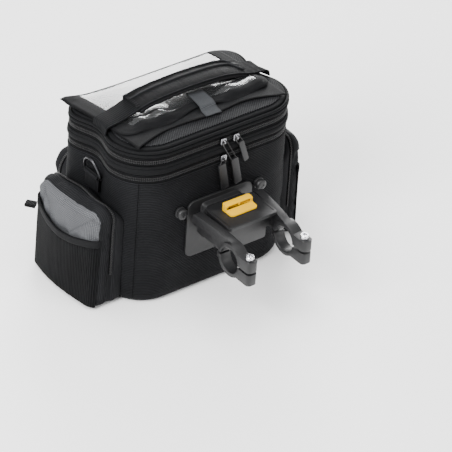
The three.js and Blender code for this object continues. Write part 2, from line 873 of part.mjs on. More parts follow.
// The map sleeve's outline from above, moved inwards by its own inset along X and along Y.
function mapOutline(insetX, insetY, mapRear, rearRadius, wave) {
  const half = mapWidth / 2 - insetX;
  const rear = mapRear + insetY;
  const front = mapFrontY - insetY * (mapFrontBorder / mapBorder);
  const radius = Math.max(rearRadius - (insetX + insetY) / 2, 2);
  const rightTip = Math.max(mapFrontRadius - insetX / 2, 3);
  const leftTip = 3;
  const corners = [
    { x: half - radius, y: rear + radius, radius, turn: -90, between: 4 },
    { x: half - rightTip, y: front - rightTip, radius: rightTip, turn: 0, between: 6 },
    { x: -half + leftTip, y: front - leftTip, radius: leftTip, turn: 90, between: 4 },
    { x: -half + radius, y: rear + radius, radius, turn: 180, between: 12 },
  ];
  const steps = 3;
  const points = [];
  corners.forEach((corner, side) => {
    for (let i = 0; i <= steps; i += 1) {
      const angle = THREE.MathUtils.degToRad(corner.turn + (90 * i) / steps);
      points.push(new THREE.Vector2(
        corner.x + corner.radius * Math.cos(angle),
        corner.y + corner.radius * Math.sin(angle),
      ));
    }
    const next = corners[(side + 1) % 4];
    const angle = THREE.MathUtils.degToRad(next.turn);
    const to = new THREE.Vector2(
      next.x + next.radius * Math.cos(angle),
      next.y + next.radius * Math.sin(angle),
    );
    const from = points[points.length - 1].clone();
    for (let i = 1; i < corner.between; i += 1) {
      points.push(from.clone().lerp(to, i / corner.between));
    }
  });
  return points.map((p) => skewed({ x: p.x, y: p.y + wave * edgeWave(p, rear) }));
}

// The sleeve isn't square. Its right end is drawn in, and its left end reaches out and forward at the front.
function skewed({ x, y }) {
  const along = THREE.MathUtils.clamp((y - mapRearY) / mapDepth, 0, 1) ** 3;
  const right = Math.max(x / (mapWidth / 2), 0) ** 3;
  const left = Math.max(-x / (mapWidth / 2), 0) ** 3;
  return new THREE.Vector2(
    x - right * (mapRightShort + mapRightTaper * along) - left * mapLeftFlare * along,
    y + left * mapLeftReach * along,
  );
}

// The rider's edge of the sleeve is wavy: it bulges at the left and right and is pinched in the middle.
function edgeWave(p, rear) {
  const nearEdge = THREE.MathUtils.clamp(1 - (p.y - rear) / 20, 0, 1);
  return nearEdge * Math.cos((4 * Math.PI * p.x) / mapWidth) * Math.cos((Math.PI * p.x) / mapWidth);
}

// The sleeve lies on the lid and comes down at its front edge.
function mapBackSurface(x, y) {
  const reach = mapLeftReach * THREE.MathUtils.clamp(-x / (mapWidth / 2), 0, 1) ** 3;
  const over = THREE.MathUtils.clamp((y - reach - mapFrontBend) / (mapFrontY - mapFrontBend), 0, 1);
  return lidSurface(x, y) + netting.top + mapStand - mapFrontDroop * over ** 2;
}

// How far the clear sheet stands off the back: two swells beside the handle's middle, none at the edges.
function mapSwell(x, y) {
  const along = THREE.MathUtils.clamp((y - mapTopRearY) / (mapFrontY - mapTopRearY), 0, 1);
  const fromSide = THREE.MathUtils.clamp((mapWidth / 2 - Math.abs(x)) / mapSwellReach, 0, 1);
  const across = 0.55 + 0.45 * Math.abs(Math.sin((2 * Math.PI * x) / mapWidth));
  return mapLift * Math.sin(Math.PI * along ** 0.4) * Math.sin((Math.PI / 2) * fromSide) * across;
}

function mapTopSurface(x, y) {
  return mapBackSurface(x, y) + mapWall + gap + mapSwell(x, y);
}

function mapBack() {
  const rings = [0, 22, 48].map((inset) => (
    mapOutline(inset, inset, mapRearY, 6, inset ? 0 : mapEdgeWave * 0.6)
  ));
  const top = [...rings].reverse().map((ring) => surfaceRing(ring, mapBackSurface, mapWall));
  const under = rings.map((ring) => surfaceRing(ring, mapBackSurface, 0));
  return loft([...top, ...under]);
}

const topOutline = (insetX, insetY) => (
  mapOutline(insetX, insetY, mapTopRearY, mapRearRadius, mapEdgeWave)
);

function mapBorderFrame() {
  const outer = topOutline(0, 0);
  const inner = topOutline(mapEndBorder, mapBorder);
  const at = (ring, rise) => surfaceRing(ring, mapTopSurface, rise);
  return loft([
    at(outer, 0), at(outer, mapWall), at(inner, mapWall), at(inner, 0),
  ], true);
}

function mapWindow() {
  const insets = [gap, 12, 28];
  const rings = insets.map((inset) => topOutline(mapEndBorder + inset, mapBorder + inset));
  const top = [...rings].reverse().map((ring) => surfaceRing(ring, mapTopSurface, mapWall));
  const under = rings.map((ring) => surfaceRing(ring, mapTopSurface, 0));
  return loft([...top, ...under]);
}

// A grey tape tab that comes off the sleeve's pinched middle and is pressed onto the lid behind it.
function mapTab() {
  const stations = [
    { along: 0, rise: 0.5 },
    { along: 0.25, rise: 0.6 },
    { along: 0.5, rise: 0.6 },
    { along: 0.6, rise: 0.4 },
    { along: 0.76, rise: 0.2 },
    { along: 1, rise: 0 },
  ];
  return loft(stations.map(({ along, rise }) => {
    const y = tabFrontY + (tabRearY - tabFrontY) * along;
    const onSleeve = y > mapTopRearY;
    return [[-1, 0], [1, 0], [1, 1], [-1, 1]].map(([sideways, up]) => {
      const x = tabX + (sideways * tabWidth) / 2;
      const seat = onSleeve ? mapTopSurface(x, y) + mapWall : mapBackSurface(x, y) + 2 * mapWall + gap;
      return new THREE.Vector3(x, y, seat + gap + rise + up * tabWall);
    });
  }));
}

add('map_sleeve_back', mapBack(), 'smoothCloth');
add('map_sleeve_border', mapBorderFrame(), 'smoothCloth');
add('map_window', mapWindow(), 'clearSheet');
add('map_tab', mapTab(), 'greyTape');

// The handle's middle line from its centre to a foot, in shares of the half span and of the rise.
const handleTable = [
  { across: 0, rise: 1 },
  { across: 0.16, rise: 0.985 },
  { across: 0.32, rise: 0.955 },
  { across: 0.48, rise: 0.885 },
  { across: 0.625, rise: 0.735 },
  { across: 0.75, rise: 0.55 },
  { across: 0.857, rise: 0.42 },
  { across: 0.946, rise: 0.36 },
  { across: 0.987, rise: 0.3 },
  { across: 1, rise: 0 },
];
const strapFootZ = gussetTop - droop(handleY) + 4 * gap;
const gripReach = { left: 0.6, right: 0.7 };
const stationPast = (reach) => handleTable.findIndex(({ across }) => across > reach);

function handlePlace(station, side) {
  const { across, rise } = handleTable[station];
  return { x: side * across * strapFootX, z: strapFootZ + rise * handleRise };
}

const handleStations = [
  ...[...handleTable.keys()].reverse().map((station) => ({ station, side: -1 })),
  ...[...handleTable.keys()].slice(1).map((station) => ({ station, side: 1 })),
];

// A section of the handle, square to its middle line, with offsets across the strap and through it.
function handleSection(index, section) {
  const places = handleStations.map(({ station, side }) => handlePlace(station, side));
  const here = places[index];
  const before = places[Math.max(index - 1, 0)];
  const after = places[Math.min(index + 1, places.length - 1)];
  const along = new THREE.Vector2(after.x - before.x, after.z - before.z).normalize();
  const atSide = THREE.MathUtils.smoothstep(Math.abs(here.x) / strapFootX, 0.8, 0.98);
  const followSide = (across) => (
    Math.sign(here.x) * atSide * (flankX(handleY + across) - flankX(handleY))
  );
  return section.map(({ across, through }) => new THREE.Vector3(
    here.x + followSide(across) - along.y * through,
    handleY + across,
    here.z + along.x * through - (droop(handleY + across) - droop(handleY)),
  ));
}

const rectangle = (width, height) => [
  { across: -width / 2, through: -height / 2 },
  { across: width / 2, through: -height / 2 },
  { across: width / 2, through: height / 2 },
  { across: -width / 2, through: height / 2 },
];

function roundedSection(width, height, power) {
  const count = 10;
  return [...Array(count).keys()].map((step) => {
    const angle = (2 * Math.PI * (step + 0.5)) / count;
    const bend = (value) => Math.sign(value) * Math.abs(value) ** power;
    return {
      across: (width / 2) * bend(Math.cos(angle)) / bend(Math.cos(Math.PI / count)),
      through: (height / 2) * bend(Math.sin(angle)) / bend(Math.cos(Math.PI / count)),
    };
  });
}

const handleMiddle = handleTable.length - 1;
const gripFrom = handleMiddle - stationPast(gripReach.left);
const gripTo = handleMiddle + stationPast(gripReach.right);

function sleeveBetween(from, to, outer, inner) {
  const places = span(from, to);
  return loft([
    ...places.map((place) => handleSection(place, outer)),
    ...[...places].reverse().map((place) => handleSection(place, inner)),
  ], true);
}

const slot = roundedSection(strapWidth + 2 * gap + 1, strapWall + 2 * gap + 1, 0.2);
add(
  'handle_strap',
  loft(handleStations.map((_, place) => handleSection(place, rectangle(strapWidth, strapWall)))),
  'webbing',
);
add(
  'handle_grip',
  sleeveBetween(gripFrom, gripTo, roundedSection(gripWidth, gripThickness, 0.62), slot),
  'smoothCloth',
);

// A bound ring round the grip's left end.
function gripBinding() {
  const inner = roundedSection(gripWidth + 2 * gap, gripThickness + 2 * gap, 0.62);
  const outer = roundedSection(
    gripWidth + 2 * (gap + bindingRingWall),
    gripThickness + 2 * (gap + bindingRingWall),
    0.62,
  );
  const end = handleSection(gripFrom, inner);
  const before = handleSection(gripFrom + 1, inner);
  const endOut = handleSection(gripFrom, outer);
  const beforeOut = handleSection(gripFrom + 1, outer);
  const share = bindingRingLength / end[0].distanceTo(before[0]);
  const back = (ring, other) => ring.map((p, place) => p.clone().lerp(other[place], share));
  return loft([end, endOut, back(endOut, beforeOut), back(end, before)], true);
}

add('grip_binding', gripBinding(), 'webbing');

// A round wire bent to a closed loop that lies in one plane.
function wireLoop(middle, normal, radius, sides = 6) {
  return loft(middle.map((point, place) => {
    const before = middle[(place + middle.length - 1) % middle.length];
    const after = middle[(place + 1) % middle.length];
    const outward = new THREE.Vector3().subVectors(after, before).normalize().cross(normal);
    return [...Array(sides).keys()].map((step) => {
      const angle = (2 * Math.PI * step) / sides;
      return point.clone()
        .addScaledVector(outward, radius * Math.cos(angle))
        .addScaledVector(normal, radius * Math.sin(angle));
    });
  }), true);
}

// A D ring: a straight bar along Y with a rounded bow, drawn about the bar's axis and leant outwards.
function ringGeometry() {
  const bowSteps = 12;
  const middle = [];
  for (let i = 0; i <= bowSteps; i += 1) {
    const angle = (Math.PI * i) / bowSteps;
    middle.push(new THREE.Vector3(0, ringHalfSpan * Math.cos(angle), ringTall * Math.sin(angle) ** 0.85));
  }
  for (let i = 1; i < 4; i += 1) {
    middle.push(new THREE.Vector3(0, -ringHalfSpan + (2 * ringHalfSpan * i) / 4, 0));
  }
  return wireLoop(middle, new THREE.Vector3(1, 0, 0), ringWire)
    .rotateY(THREE.MathUtils.degToRad(ringLean))
    .translate(ringBarX, ringY, ringBarHeight);
}

// The webbing tab that holds the ring's bar: an eye round the bar and a tail below it.
function ringTab() {
  const inner = ringWire + runningGap;
  const outer = inner + ringTabWall;
  const outline = new THREE.Shape();
  const side = Math.asin(ringTabWall / outer);
  outline.moveTo(-ringTabWall, -ringTabLength);
  outline.lineTo(ringTabWall, -ringTabLength);
  outline.lineTo(ringTabWall, -outer * Math.cos(side));
  outline.absarc(0, 0, outer, -Math.PI / 2 + side, (3 * Math.PI) / 2 - side, false);
  outline.lineTo(-ringTabWall, -ringTabLength);
  const hole = new THREE.Path();
  hole.absarc(0, 0, inner, 0, 2 * Math.PI, true);
  outline.holes.push(hole);
  const settings = { depth: ringTabWidth, bevelEnabled: false, curveSegments: 7 };
  const tab = new THREE.ExtrudeGeometry(outline, settings);
  tab.rotateX(Math.PI / 2);
  return tab.translate(ringBarX, ringY + ringTabWidth / 2, ringBarHeight);
}

addPair('d_ring', ringGeometry(), 'ringMetal');
addPair('ring_tab', ringTab(), 'webbing');

// A flat outline in X and Z, drawn out along Y from the nearer to the farther place.
function slabAlongY(outline, fromY, toY, curveSegments = 3) {
  const settings = { depth: toY - fromY, bevelEnabled: false, curveSegments };
  const geometry = new THREE.ExtrudeGeometry(outline, settings);
  return geometry.rotateX(Math.PI / 2).translate(0, toY, 0);
}

function slabAlongZ(outline, low, high, curveSegments = 3) {
  const settings = { depth: high - low, bevelEnabled: false, curveSegments };
  const geometry = new THREE.ExtrudeGeometry(outline, settings);
  return geometry.translate(0, 0, low);
}

function roundedRectangle(left, right, low, high, radius) {
  const outline = new THREE.Shape();
  outline.absarc(right - radius, low + radius, radius, -Math.PI / 2, 0, false);
  outline.absarc(right - radius, high - radius, radius, 0, Math.PI / 2, false);
  outline.absarc(left + radius, high - radius, radius, Math.PI / 2, Math.PI, false);
  outline.absarc(left + radius, low + radius, radius, Math.PI, 1.5 * Math.PI, false);
  outline.closePath();
  return outline;
}

function rodAlongX(x, width, y, z, radius, sides) {
  return new THREE.CylinderGeometry(radius, radius, width, sides).rotateZ(Math.PI / 2).translate(x, y, z);
}

function rodAlongZ(x, y, low, high, radius, sides = 16) {
  return new THREE.CylinderGeometry(radius, radius, high - low, sides)
    .rotateX(Math.PI / 2)
    .translate(x, y, (low + high) / 2);
}

// The slider's face, its bail, and the line that the pull's link hangs from.
const sliderBackY = rearY + zipRecess - coilStand - gap;
const sliderFaceY = sliderBackY - sliderDepth;
const linkY = sliderFaceY - bailRadius / 2;
const layerMiddle = { upper: (bandTop + upperZipTop) / 2, lower: (bodyHeight + lowerZipTop) / 2 };

function slider({ x, layer }) {
  const z = layerMiddle[layer];
  const half = sliderHeight / 2;
  const body = slabAlongY(
    roundedRectangle(x - sliderWidth / 2, x + sliderWidth / 2, z - half, z + half, 2.5),
    sliderFaceY,
    sliderBackY,
  );
  const arch = new THREE.Shape();
  const sunk = 0.3;
  arch.moveTo(sliderFaceY + sunk, z - bailRadius - bailWire);
  arch.absarc(sliderFaceY, z, bailRadius + bailWire, 1.5 * Math.PI, Math.PI / 2, true);
  arch.lineTo(sliderFaceY + sunk, z + bailRadius + bailWire);
  arch.lineTo(sliderFaceY + sunk, z + bailRadius);
  arch.lineTo(sliderFaceY, z + bailRadius);
  arch.absarc(sliderFaceY, z, bailRadius, Math.PI / 2, 1.5 * Math.PI, false);
  arch.lineTo(sliderFaceY + sunk, z - bailRadius);
  return join(body, slabAlongX(arch, x, bailWidth, 4));
}

// A wire link and a tab on its lower end. The link's upper end passes through the slider's bail.
function pull({ x, layer, linkLength, linkTilt, tabLength, tabTilt, tabWidth }) {
  const corner = 1.6;
  const half = linkWidth / 2;
  const middle = [];
  const turns = [
    { x: half - corner, z: -corner, start: 90 },
    { x: half - corner, z: -linkLength + corner, start: 0 },
    { x: -half + corner, z: -linkLength + corner, start: -90 },
    { x: -half + corner, z: -corner, start: 180 },
  ];
  for (const turn of turns) {
    for (const share of [0, 1]) {
      const angle = THREE.MathUtils.degToRad(turn.start - 90 * share);
      middle.push(new THREE.Vector3(
        turn.x + corner * Math.cos(angle),
        0,
        turn.z + corner * Math.sin(angle),
      ));
    }
  }
  const link = wireLoop(middle, new THREE.Vector3(0, 1, 0), linkWire, 5);
  link.rotateY(THREE.MathUtils.degToRad(-linkTilt));
  const sink = 2.5;
  const tab = slabAlongY(
    roundedRectangle(-tabWidth / 2, tabWidth / 2, -tabLength, sink, 2),
    -pullThickness / 2,
    pullThickness / 2,
  );
  tab.rotateY(THREE.MathUtils.degToRad(-tabTilt));
  const tilt = THREE.MathUtils.degToRad(linkTilt);
  tab.translate(linkLength * Math.sin(tilt), 0, -linkLength * Math.cos(tilt));
  return join(link, tab).translate(x, linkY, layerMiddle[layer]);
}

for (const place of sliderPlaces) {
  add(`slider_${place.name}`, slider(place), 'sliderMetal');
  add(`pull_${place.name}`, pull(place), 'blackPlastic');
}

// The adapter's rails hold the bracket's tongue behind two lips. The channel is open below and shut above.
const plateBackY = rearY - gap;
const plateFaceY = plateBackY - adapterPlate;
const tongueFrontY = plateFaceY - runningGap;
const tongueRearY = tongueFrontY - tongueThickness;
const lipFrontY = tongueRearY - runningGap;
const lipRearY = lipFrontY - lipThickness;
const slotHalfWidth = tongueHalfWidth + runningGap;
const channelHalfWidth = slotHalfWidth + channelWall;
const tongueTop = channelHigh - channelWall - runningGap;

function adapter() {
  const plate = slabAlongY(
    roundedRectangle(-adapterWidth / 2, adapterWidth / 2, adapterLow, adapterHigh, adapterRadius),
    plateFaceY,
    plateBackY,
  );
  const rails = slabAlongY(
    roundedRectangle(-channelHalfWidth, channelHalfWidth, channelLow, channelHigh, 5),
    lipRearY,
    plateFaceY + gap,
  );
  const past = 20;
  const slotTop = channelHigh - channelWall;
  return cut(
    join(plate, rails),
    box([-slotHalfWidth, lipFrontY, channelLow - past], [slotHalfWidth, plateFaceY, slotTop]),
    box(
      [-neckHalfWidth - runningGap, lipRearY - past, channelLow - past],
      [neckHalfWidth + runningGap, lipFrontY + gap, slotTop],
    ),
  );
}

const bossProfile = [
  { along: 0, radius: 1 },
  { along: 0.28, radius: 1 },
  { along: 0.34, radius: 0.78 },
  { along: 0.5, radius: 0.78 },
  { along: 0.56, radius: 0.94 },
  { along: 0.85, radius: 0.94 },
  { along: 1, radius: 0.74 },
];

function adapterBoss() {
  const sides = 14;
  return loft(bossProfile.map(({ along, radius }) => [...Array(sides).keys()].map((step) => {
    const angle = (2 * Math.PI * step) / sides;
    return new THREE.Vector3(
      bossX + bossRadius * radius * Math.cos(angle),
      plateBackY - bossLength * along,
      bossZ + bossRadius * radius * Math.sin(angle),
    );
  })));
}

add('adapter', adapter(), 'blackPlastic');
addPair('adapter_boss', adapterBoss(), 'blackPlastic');

// The bracket's block stands behind the adapter's lips. Its tongue goes into the channel.
const blockFrontY = lipRearY - runningGap;
const ringOuter = barRadius + clampWall;
const splitHigh = barZ + lugSplit / 2;
const splitLow = barZ - lugSplit / 2;

function armSide() {
  const round = 4;
  const low = armTopZ - armDepth;
  const outline = new THREE.Shape();
  outline.moveTo(armFrontY, low);
  outline.lineTo(armFrontY, armTopZ - round);
  outline.absarc(armFrontY - round, armTopZ - round, round, 0, Math.PI / 2, false);
  outline.quadraticCurveTo(barY + ringOuter, armTopZ, barY, barZ + ringOuter);
  outline.lineTo(barY, barZ + barRadius);
  outline.lineTo(barY + ringOuter, splitHigh);
  outline.lineTo(barY + ringOuter + lugHalfLength, splitHigh);
  outline.lineTo(barY + ringOuter + 2 * lugHalfLength, low);
  outline.closePath();
  const arm = slabAlongX(outline, armX, armWidth, 6);
  const slope = armInset / (armFrontY - blockRearY);
  const slant = new THREE.Matrix4().set(
    1, slope, 0, -slope * armFrontY,
    0, 1, 0, 0,
    0, 0, 1, 0,
    0, 0, 0, 1,
  );
  return arm.applyMatrix4(slant);
}

function lug(low, high) {
  const right = clampX + clampWidth / 2;
  const left = clampX - clampWidth / 2;
  const outline = roundedRectangle(left, right, boltY - lugHalfLength, barY, 5);
  return slabAlongZ(outline, low, high, 3);
}

const boltHole = () => rodAlongZ(clampX, boltY, lugLowZ - lugSplit, lugTopZ + lugSplit, boltRadius + gap);
const barHole = () => rodAlongX(clampX, 2 * clampWidth, barY, barZ, barRadius, 20);
const past = 4;

function bracketSide() {
  const ring = rodAlongX(clampX, clampWidth, barY, barZ, ringOuter, 20);
  const below = box(
    [clampX - clampWidth, boltY - clampWidth, barZ - 2 * ringOuter],
    [clampX + clampWidth, barY + ringOuter + past, splitHigh],
  );
  const clamp = cut(join(ring, lug(splitHigh, lugTopZ)), below);
  const webLow = [blockHalfWidth - past, blockRearY, webTopZ - armDepth];
  const web = box(webLow, [armX, armFrontY - past, webTopZ]);
  return cut(join(clamp, armSide(), web), barHole(), boltHole());
}

function plateGroove(side) {
  const x = side * (plateHalfWidth - 3);
  const half = 0.5;
  return box(
    [x - half, plateRearY + past, plateTopZ - half],
    [x + half, plateFrontY - past, plateTopZ + half],
  );
}

function bracketBody() {
  const tongue = box(
    [-tongueHalfWidth, tongueRearY, channelLow + past],
    [tongueHalfWidth, tongueFrontY, tongueTop],
  );
  const neck = box(
    [-neckHalfWidth, blockFrontY - past, blockLow],
    [neckHalfWidth, tongueRearY + gap, tongueTop],
  );
  const plateLow = plateTopZ - plateThickness;
  const block = slabAlongY(
    roundedRectangle(-blockHalfWidth, blockHalfWidth, blockLow, plateLow + gap, 3),
    blockRearY,
    blockFrontY,
  );
  const plate = slabAlongZ(
    roundedRectangle(-plateHalfWidth, plateHalfWidth, plateRearY, plateFrontY, 4),
    plateLow,
    plateTopZ,
  );
  const right = bracketSide();
  return cut(join(tongue, neck, block, plate, right, mirrored(right)), plateGroove(1), plateGroove(-1));
}

// The lower half of a clamp, with the lug that the bolt draws up.
function clampJaw() {
  const ring = rodAlongX(clampX, clampWidth, barY, barZ, ringOuter, 20);
  const above = box(
    [clampX - clampWidth, boltY - clampWidth, splitLow],
    [clampX + clampWidth, barY + 2 * ringOuter, barZ + 2 * ringOuter],
  );
  const foot = box(
    [clampX - armWidth / 2, barY + barRadius, splitLow - lugHalfLength],
    [clampX + armWidth / 2, barY + ringOuter + lugHalfLength / 2, splitLow],
  );
  return cut(join(ring, lug(lugLowZ, splitLow), foot), above, barHole(), boltHole());
}

function clampBolt() {
  const seat = lugTopZ + gap;
  const head = rodAlongZ(clampX, boltY, seat, seat + boltHeadHeight, boltHeadRadius, 14);
  const shaft = rodAlongZ(clampX, boltY, lugLowZ + 1, seat + 1, boltRadius, 10);
  const socketLow = seat + boltHeadHeight * 0.4;
  const socket = rodAlongZ(clampX, boltY, socketLow, seat + 2 * boltHeadHeight, boltRadius, 6);
  return cut(join(head, shaft), socket);
}

add('bracket_body', bracketBody(), 'blackPlastic');
addPair('clamp_jaw', clampJaw(), 'blackPlastic');
addPair('clamp_bolt', clampBolt(), 'boltSteel');

// The release lever: a raised bar with two finger hollows on the rider's side, and a flat tongue behind it.
function releaseLever() {
  const low = plateTopZ + runningGap;
  const high = low + leverBarHeight;
  const barRear = leverFrontY - leverBarDepth;
  const outline = new THREE.Shape();
  outline.moveTo(leverFrontY - 1.5, low);
  outline.lineTo(leverFrontY, low + 1.5);
  outline.lineTo(leverFrontY, high - 3);
  outline.quadraticCurveTo(leverFrontY, high, leverFrontY - 3, high);
  outline.lineTo(barRear + 3, high);
  outline.quadraticCurveTo(barRear, high, barRear, high - 3);
  outline.lineTo(barRear, low + leverTongue + 1);
  outline.lineTo(barRear - 1, low + leverTongue);
  outline.lineTo(leverRearY + 1, low + leverTongue);
  outline.lineTo(leverRearY, low + leverTongue / 2);
  outline.lineTo(leverRearY, low);
  outline.closePath();
  const slab = slabAlongX(outline, 0, 2 * leverHalfWidth, 4);
  const plan = slabAlongZ(
    roundedRectangle(-leverHalfWidth, leverHalfWidth, leverRearY, leverFrontY, 4.5),
    low - 1,
    high + 1,
  );
  const rounded = toManifold(slab).intersect(toManifold(plan));
  const rib = 1;
  const rim = 3;
  const hollows = [-1, 1].map((side) => {
    const inner = side * rib;
    const outer = side * (leverHalfWidth - rim);
    return box(
      [Math.min(inner, outer), barRear - 2, low + leverTongue + 1.2],
      [Math.max(inner, outer), barRear + leverRecess, high - rim / 2],
    );
  });
  return cut(fromManifold(rounded), ...hollows);
}

add('release_lever', releaseLever(), 'yellowPlastic');

export default bag;
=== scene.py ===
"""Bicycle handlebar bag on its base, with its quick release bracket: cloth, webbing, zips, net and moulded parts."""

import json
import math

import bmesh
import bpy
import numpy as np
from mathutils import Matrix, Vector, noise

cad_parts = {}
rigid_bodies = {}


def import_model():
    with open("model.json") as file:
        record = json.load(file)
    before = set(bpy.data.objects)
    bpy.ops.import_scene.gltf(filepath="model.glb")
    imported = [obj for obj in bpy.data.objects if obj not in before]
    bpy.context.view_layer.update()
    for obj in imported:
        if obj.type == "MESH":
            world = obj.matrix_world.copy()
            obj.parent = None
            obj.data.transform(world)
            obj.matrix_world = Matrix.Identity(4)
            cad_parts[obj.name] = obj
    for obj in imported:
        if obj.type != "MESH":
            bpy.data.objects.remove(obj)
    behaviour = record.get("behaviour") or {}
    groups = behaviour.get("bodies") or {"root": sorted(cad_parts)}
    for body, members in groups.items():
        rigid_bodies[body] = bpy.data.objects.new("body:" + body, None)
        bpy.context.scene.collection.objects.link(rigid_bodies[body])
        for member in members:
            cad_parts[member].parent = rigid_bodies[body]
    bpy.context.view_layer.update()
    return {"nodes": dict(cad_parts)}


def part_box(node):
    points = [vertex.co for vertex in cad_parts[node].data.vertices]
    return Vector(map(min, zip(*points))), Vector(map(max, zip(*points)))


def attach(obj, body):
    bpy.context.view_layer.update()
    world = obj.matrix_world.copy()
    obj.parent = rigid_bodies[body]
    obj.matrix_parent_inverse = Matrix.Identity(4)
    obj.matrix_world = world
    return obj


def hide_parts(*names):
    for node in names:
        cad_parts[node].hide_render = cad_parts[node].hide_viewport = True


bl_info = {
    "name": "Handlebar bag",
    "version": (1, 0, 0),
    "blender": (4, 5, 0),
    "location": "3D View > Sidebar > Bag",
    "description": "Builds the cloth, webbing and moulded parts of a bicycle handlebar bag",
    "category": "Object",
}

for item in list(bpy.data.objects):
    bpy.data.objects.remove(item)
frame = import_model()
MM = 0.001
TAU = 2 * math.pi


# Sizes that are set in the sidebar


class BagSizes(bpy.types.PropertyGroup):
    width: bpy.props.FloatProperty(
        name="Width", description="Main body across", default=0.240, unit="LENGTH"
    )
    depth: bpy.props.FloatProperty(
        name="Depth", description="Main body front to back", default=0.150, unit="LENGTH"
    )
    rear_radius: bpy.props.FloatProperty(
        name="Rear corners", description="Radius of the rider's corners", default=0.050, unit="LENGTH"
    )
    front_radius: bpy.props.FloatProperty(
        name="Front corners", description="Radius of the front corners", default=0.026, unit="LENGTH"
    )
    waist: bpy.props.FloatProperty(
        name="Waist", description="How far the sides are drawn in", default=0.008, unit="LENGTH"
    )
    droop: bpy.props.FloatProperty(
        name="Droop", description="Fall of every layer towards the front", default=0.008, unit="LENGTH"
    )
    body_height: bpy.props.FloatProperty(
        name="Body height", description="Rim of the main body at the rider's face", default=0.167, unit="LENGTH"
    )
    lower_zip_top: bpy.props.FloatProperty(
        name="Lower zip top", description="Upper edge of the lower zip", default=0.178, unit="LENGTH"
    )
    band_top: bpy.props.FloatProperty(
        name="Band top", description="Upper edge of the band between the zips", default=0.190, unit="LENGTH"
    )
    upper_zip_top: bpy.props.FloatProperty(
        name="Upper zip top", description="Upper edge of the upper zip", default=0.201, unit="LENGTH"
    )
    gusset_top: bpy.props.FloatProperty(
        name="Gusset top", description="Upper edge of the lid's side", default=0.210, unit="LENGTH"
    )
    crown: bpy.props.FloatProperty(
        name="Crown", description="Rise of the lid's middle over its edge", default=0.0025, unit="LENGTH"
    )


class ClothSettings(bpy.types.PropertyGroup):
    seed: bpy.props.IntProperty(name="Seed", description="Seed of the folds", default=11, min=0)
    fold_depth: bpy.props.FloatProperty(
        name="Fold depth", description="Depth of the large folds", default=0.0011, unit="LENGTH"
    )
    pressure: bpy.props.FloatProperty(
        name="Pressure", description="Inner pressure that fills the pockets", default=3.0, min=0
    )
    frames: bpy.props.IntProperty(name="Frames", description="Frames that the cloth settles for", default=16, min=2)
    tooth_pitch: bpy.props.FloatProperty(
        name="Tooth pitch", description="Spacing of the zip teeth", default=0.0021, unit="LENGTH"
    )


class StageSettings(bpy.types.PropertyGroup):
    azimuth: bpy.props.FloatProperty(
        name="Azimuth", description="Camera's turn round the bag", default=math.radians(-39.647), subtype="ANGLE"
    )
    elevation: bpy.props.FloatProperty(
        name="Elevation", description="Camera's height over the floor", default=math.radians(34.945), subtype="ANGLE"
    )
    roll: bpy.props.FloatProperty(
        name="Roll", description="Camera's roll", default=math.radians(4.22), subtype="ANGLE"
    )
    distance: bpy.props.FloatProperty(
        name="Distance", description="Camera's distance", default=4.54035, unit="LENGTH"
    )
    lens: bpy.props.FloatProperty(name="Lens", description="Focal length in millimetres", default=313.2)
    target: bpy.props.FloatVectorProperty(
        name="Target", description="Point in the middle of the view", default=(0.026438, -0.060, 0.059212), size=3
    )


# Shader building


def new_group(name, inputs, outputs):
    """An empty shader group with named sockets: inputs are (name, kind, default), outputs are (name, kind)."""
    group = bpy.data.node_groups.new(name, "ShaderNodeTree")
    for label, kind, default in inputs:
        item = group.interface.new_socket(label, in_out="INPUT", socket_type=kind)
        if default is not None:
            item.default_value = default
    for label, kind in outputs:
        group.interface.new_socket(label, in_out="OUTPUT", socket_type=kind)
    return group, group.nodes.new("NodeGroupInput"), group.nodes.new("NodeGroupOutput")


def maths(tree, operation, *values):
    """A Math node. Each value is a number or a socket. Returns its output."""
    node = tree.nodes.new("ShaderNodeMath")
    node.operation = operation
    for place, value in enumerate(values):
        if isinstance(value, (int, float)):
            node.inputs[place].default_value = value
        else:
            tree.links.new(value, node.inputs[place])
    return node.outputs[0]


def blend_colour(tree, factor, low, high):
    """Mixes two colours by a factor. Each colour is a tuple or a socket."""
    node = tree.nodes.new("ShaderNodeMix")
    node.data_type = "RGBA"
    for socket, value in ((node.inputs[0], factor), (node.inputs[6], low), (node.inputs[7], high)):
        if isinstance(value, (int, float)):
            socket.default_value = value
        elif isinstance(value, tuple):
            socket.default_value = (*value, 1.0)
        else:
            tree.links.new(value, socket)
    return node.outputs[2]


def wave(tree, coordinate, pitch):
    """0 to 1 and back once in each pitch."""
    turn = maths(tree, "MULTIPLY", maths(tree, "DIVIDE", coordinate, pitch), TAU)
    return maths(tree, "MULTIPLY_ADD", maths(tree, "SINE", turn), 0.5, 0.5)


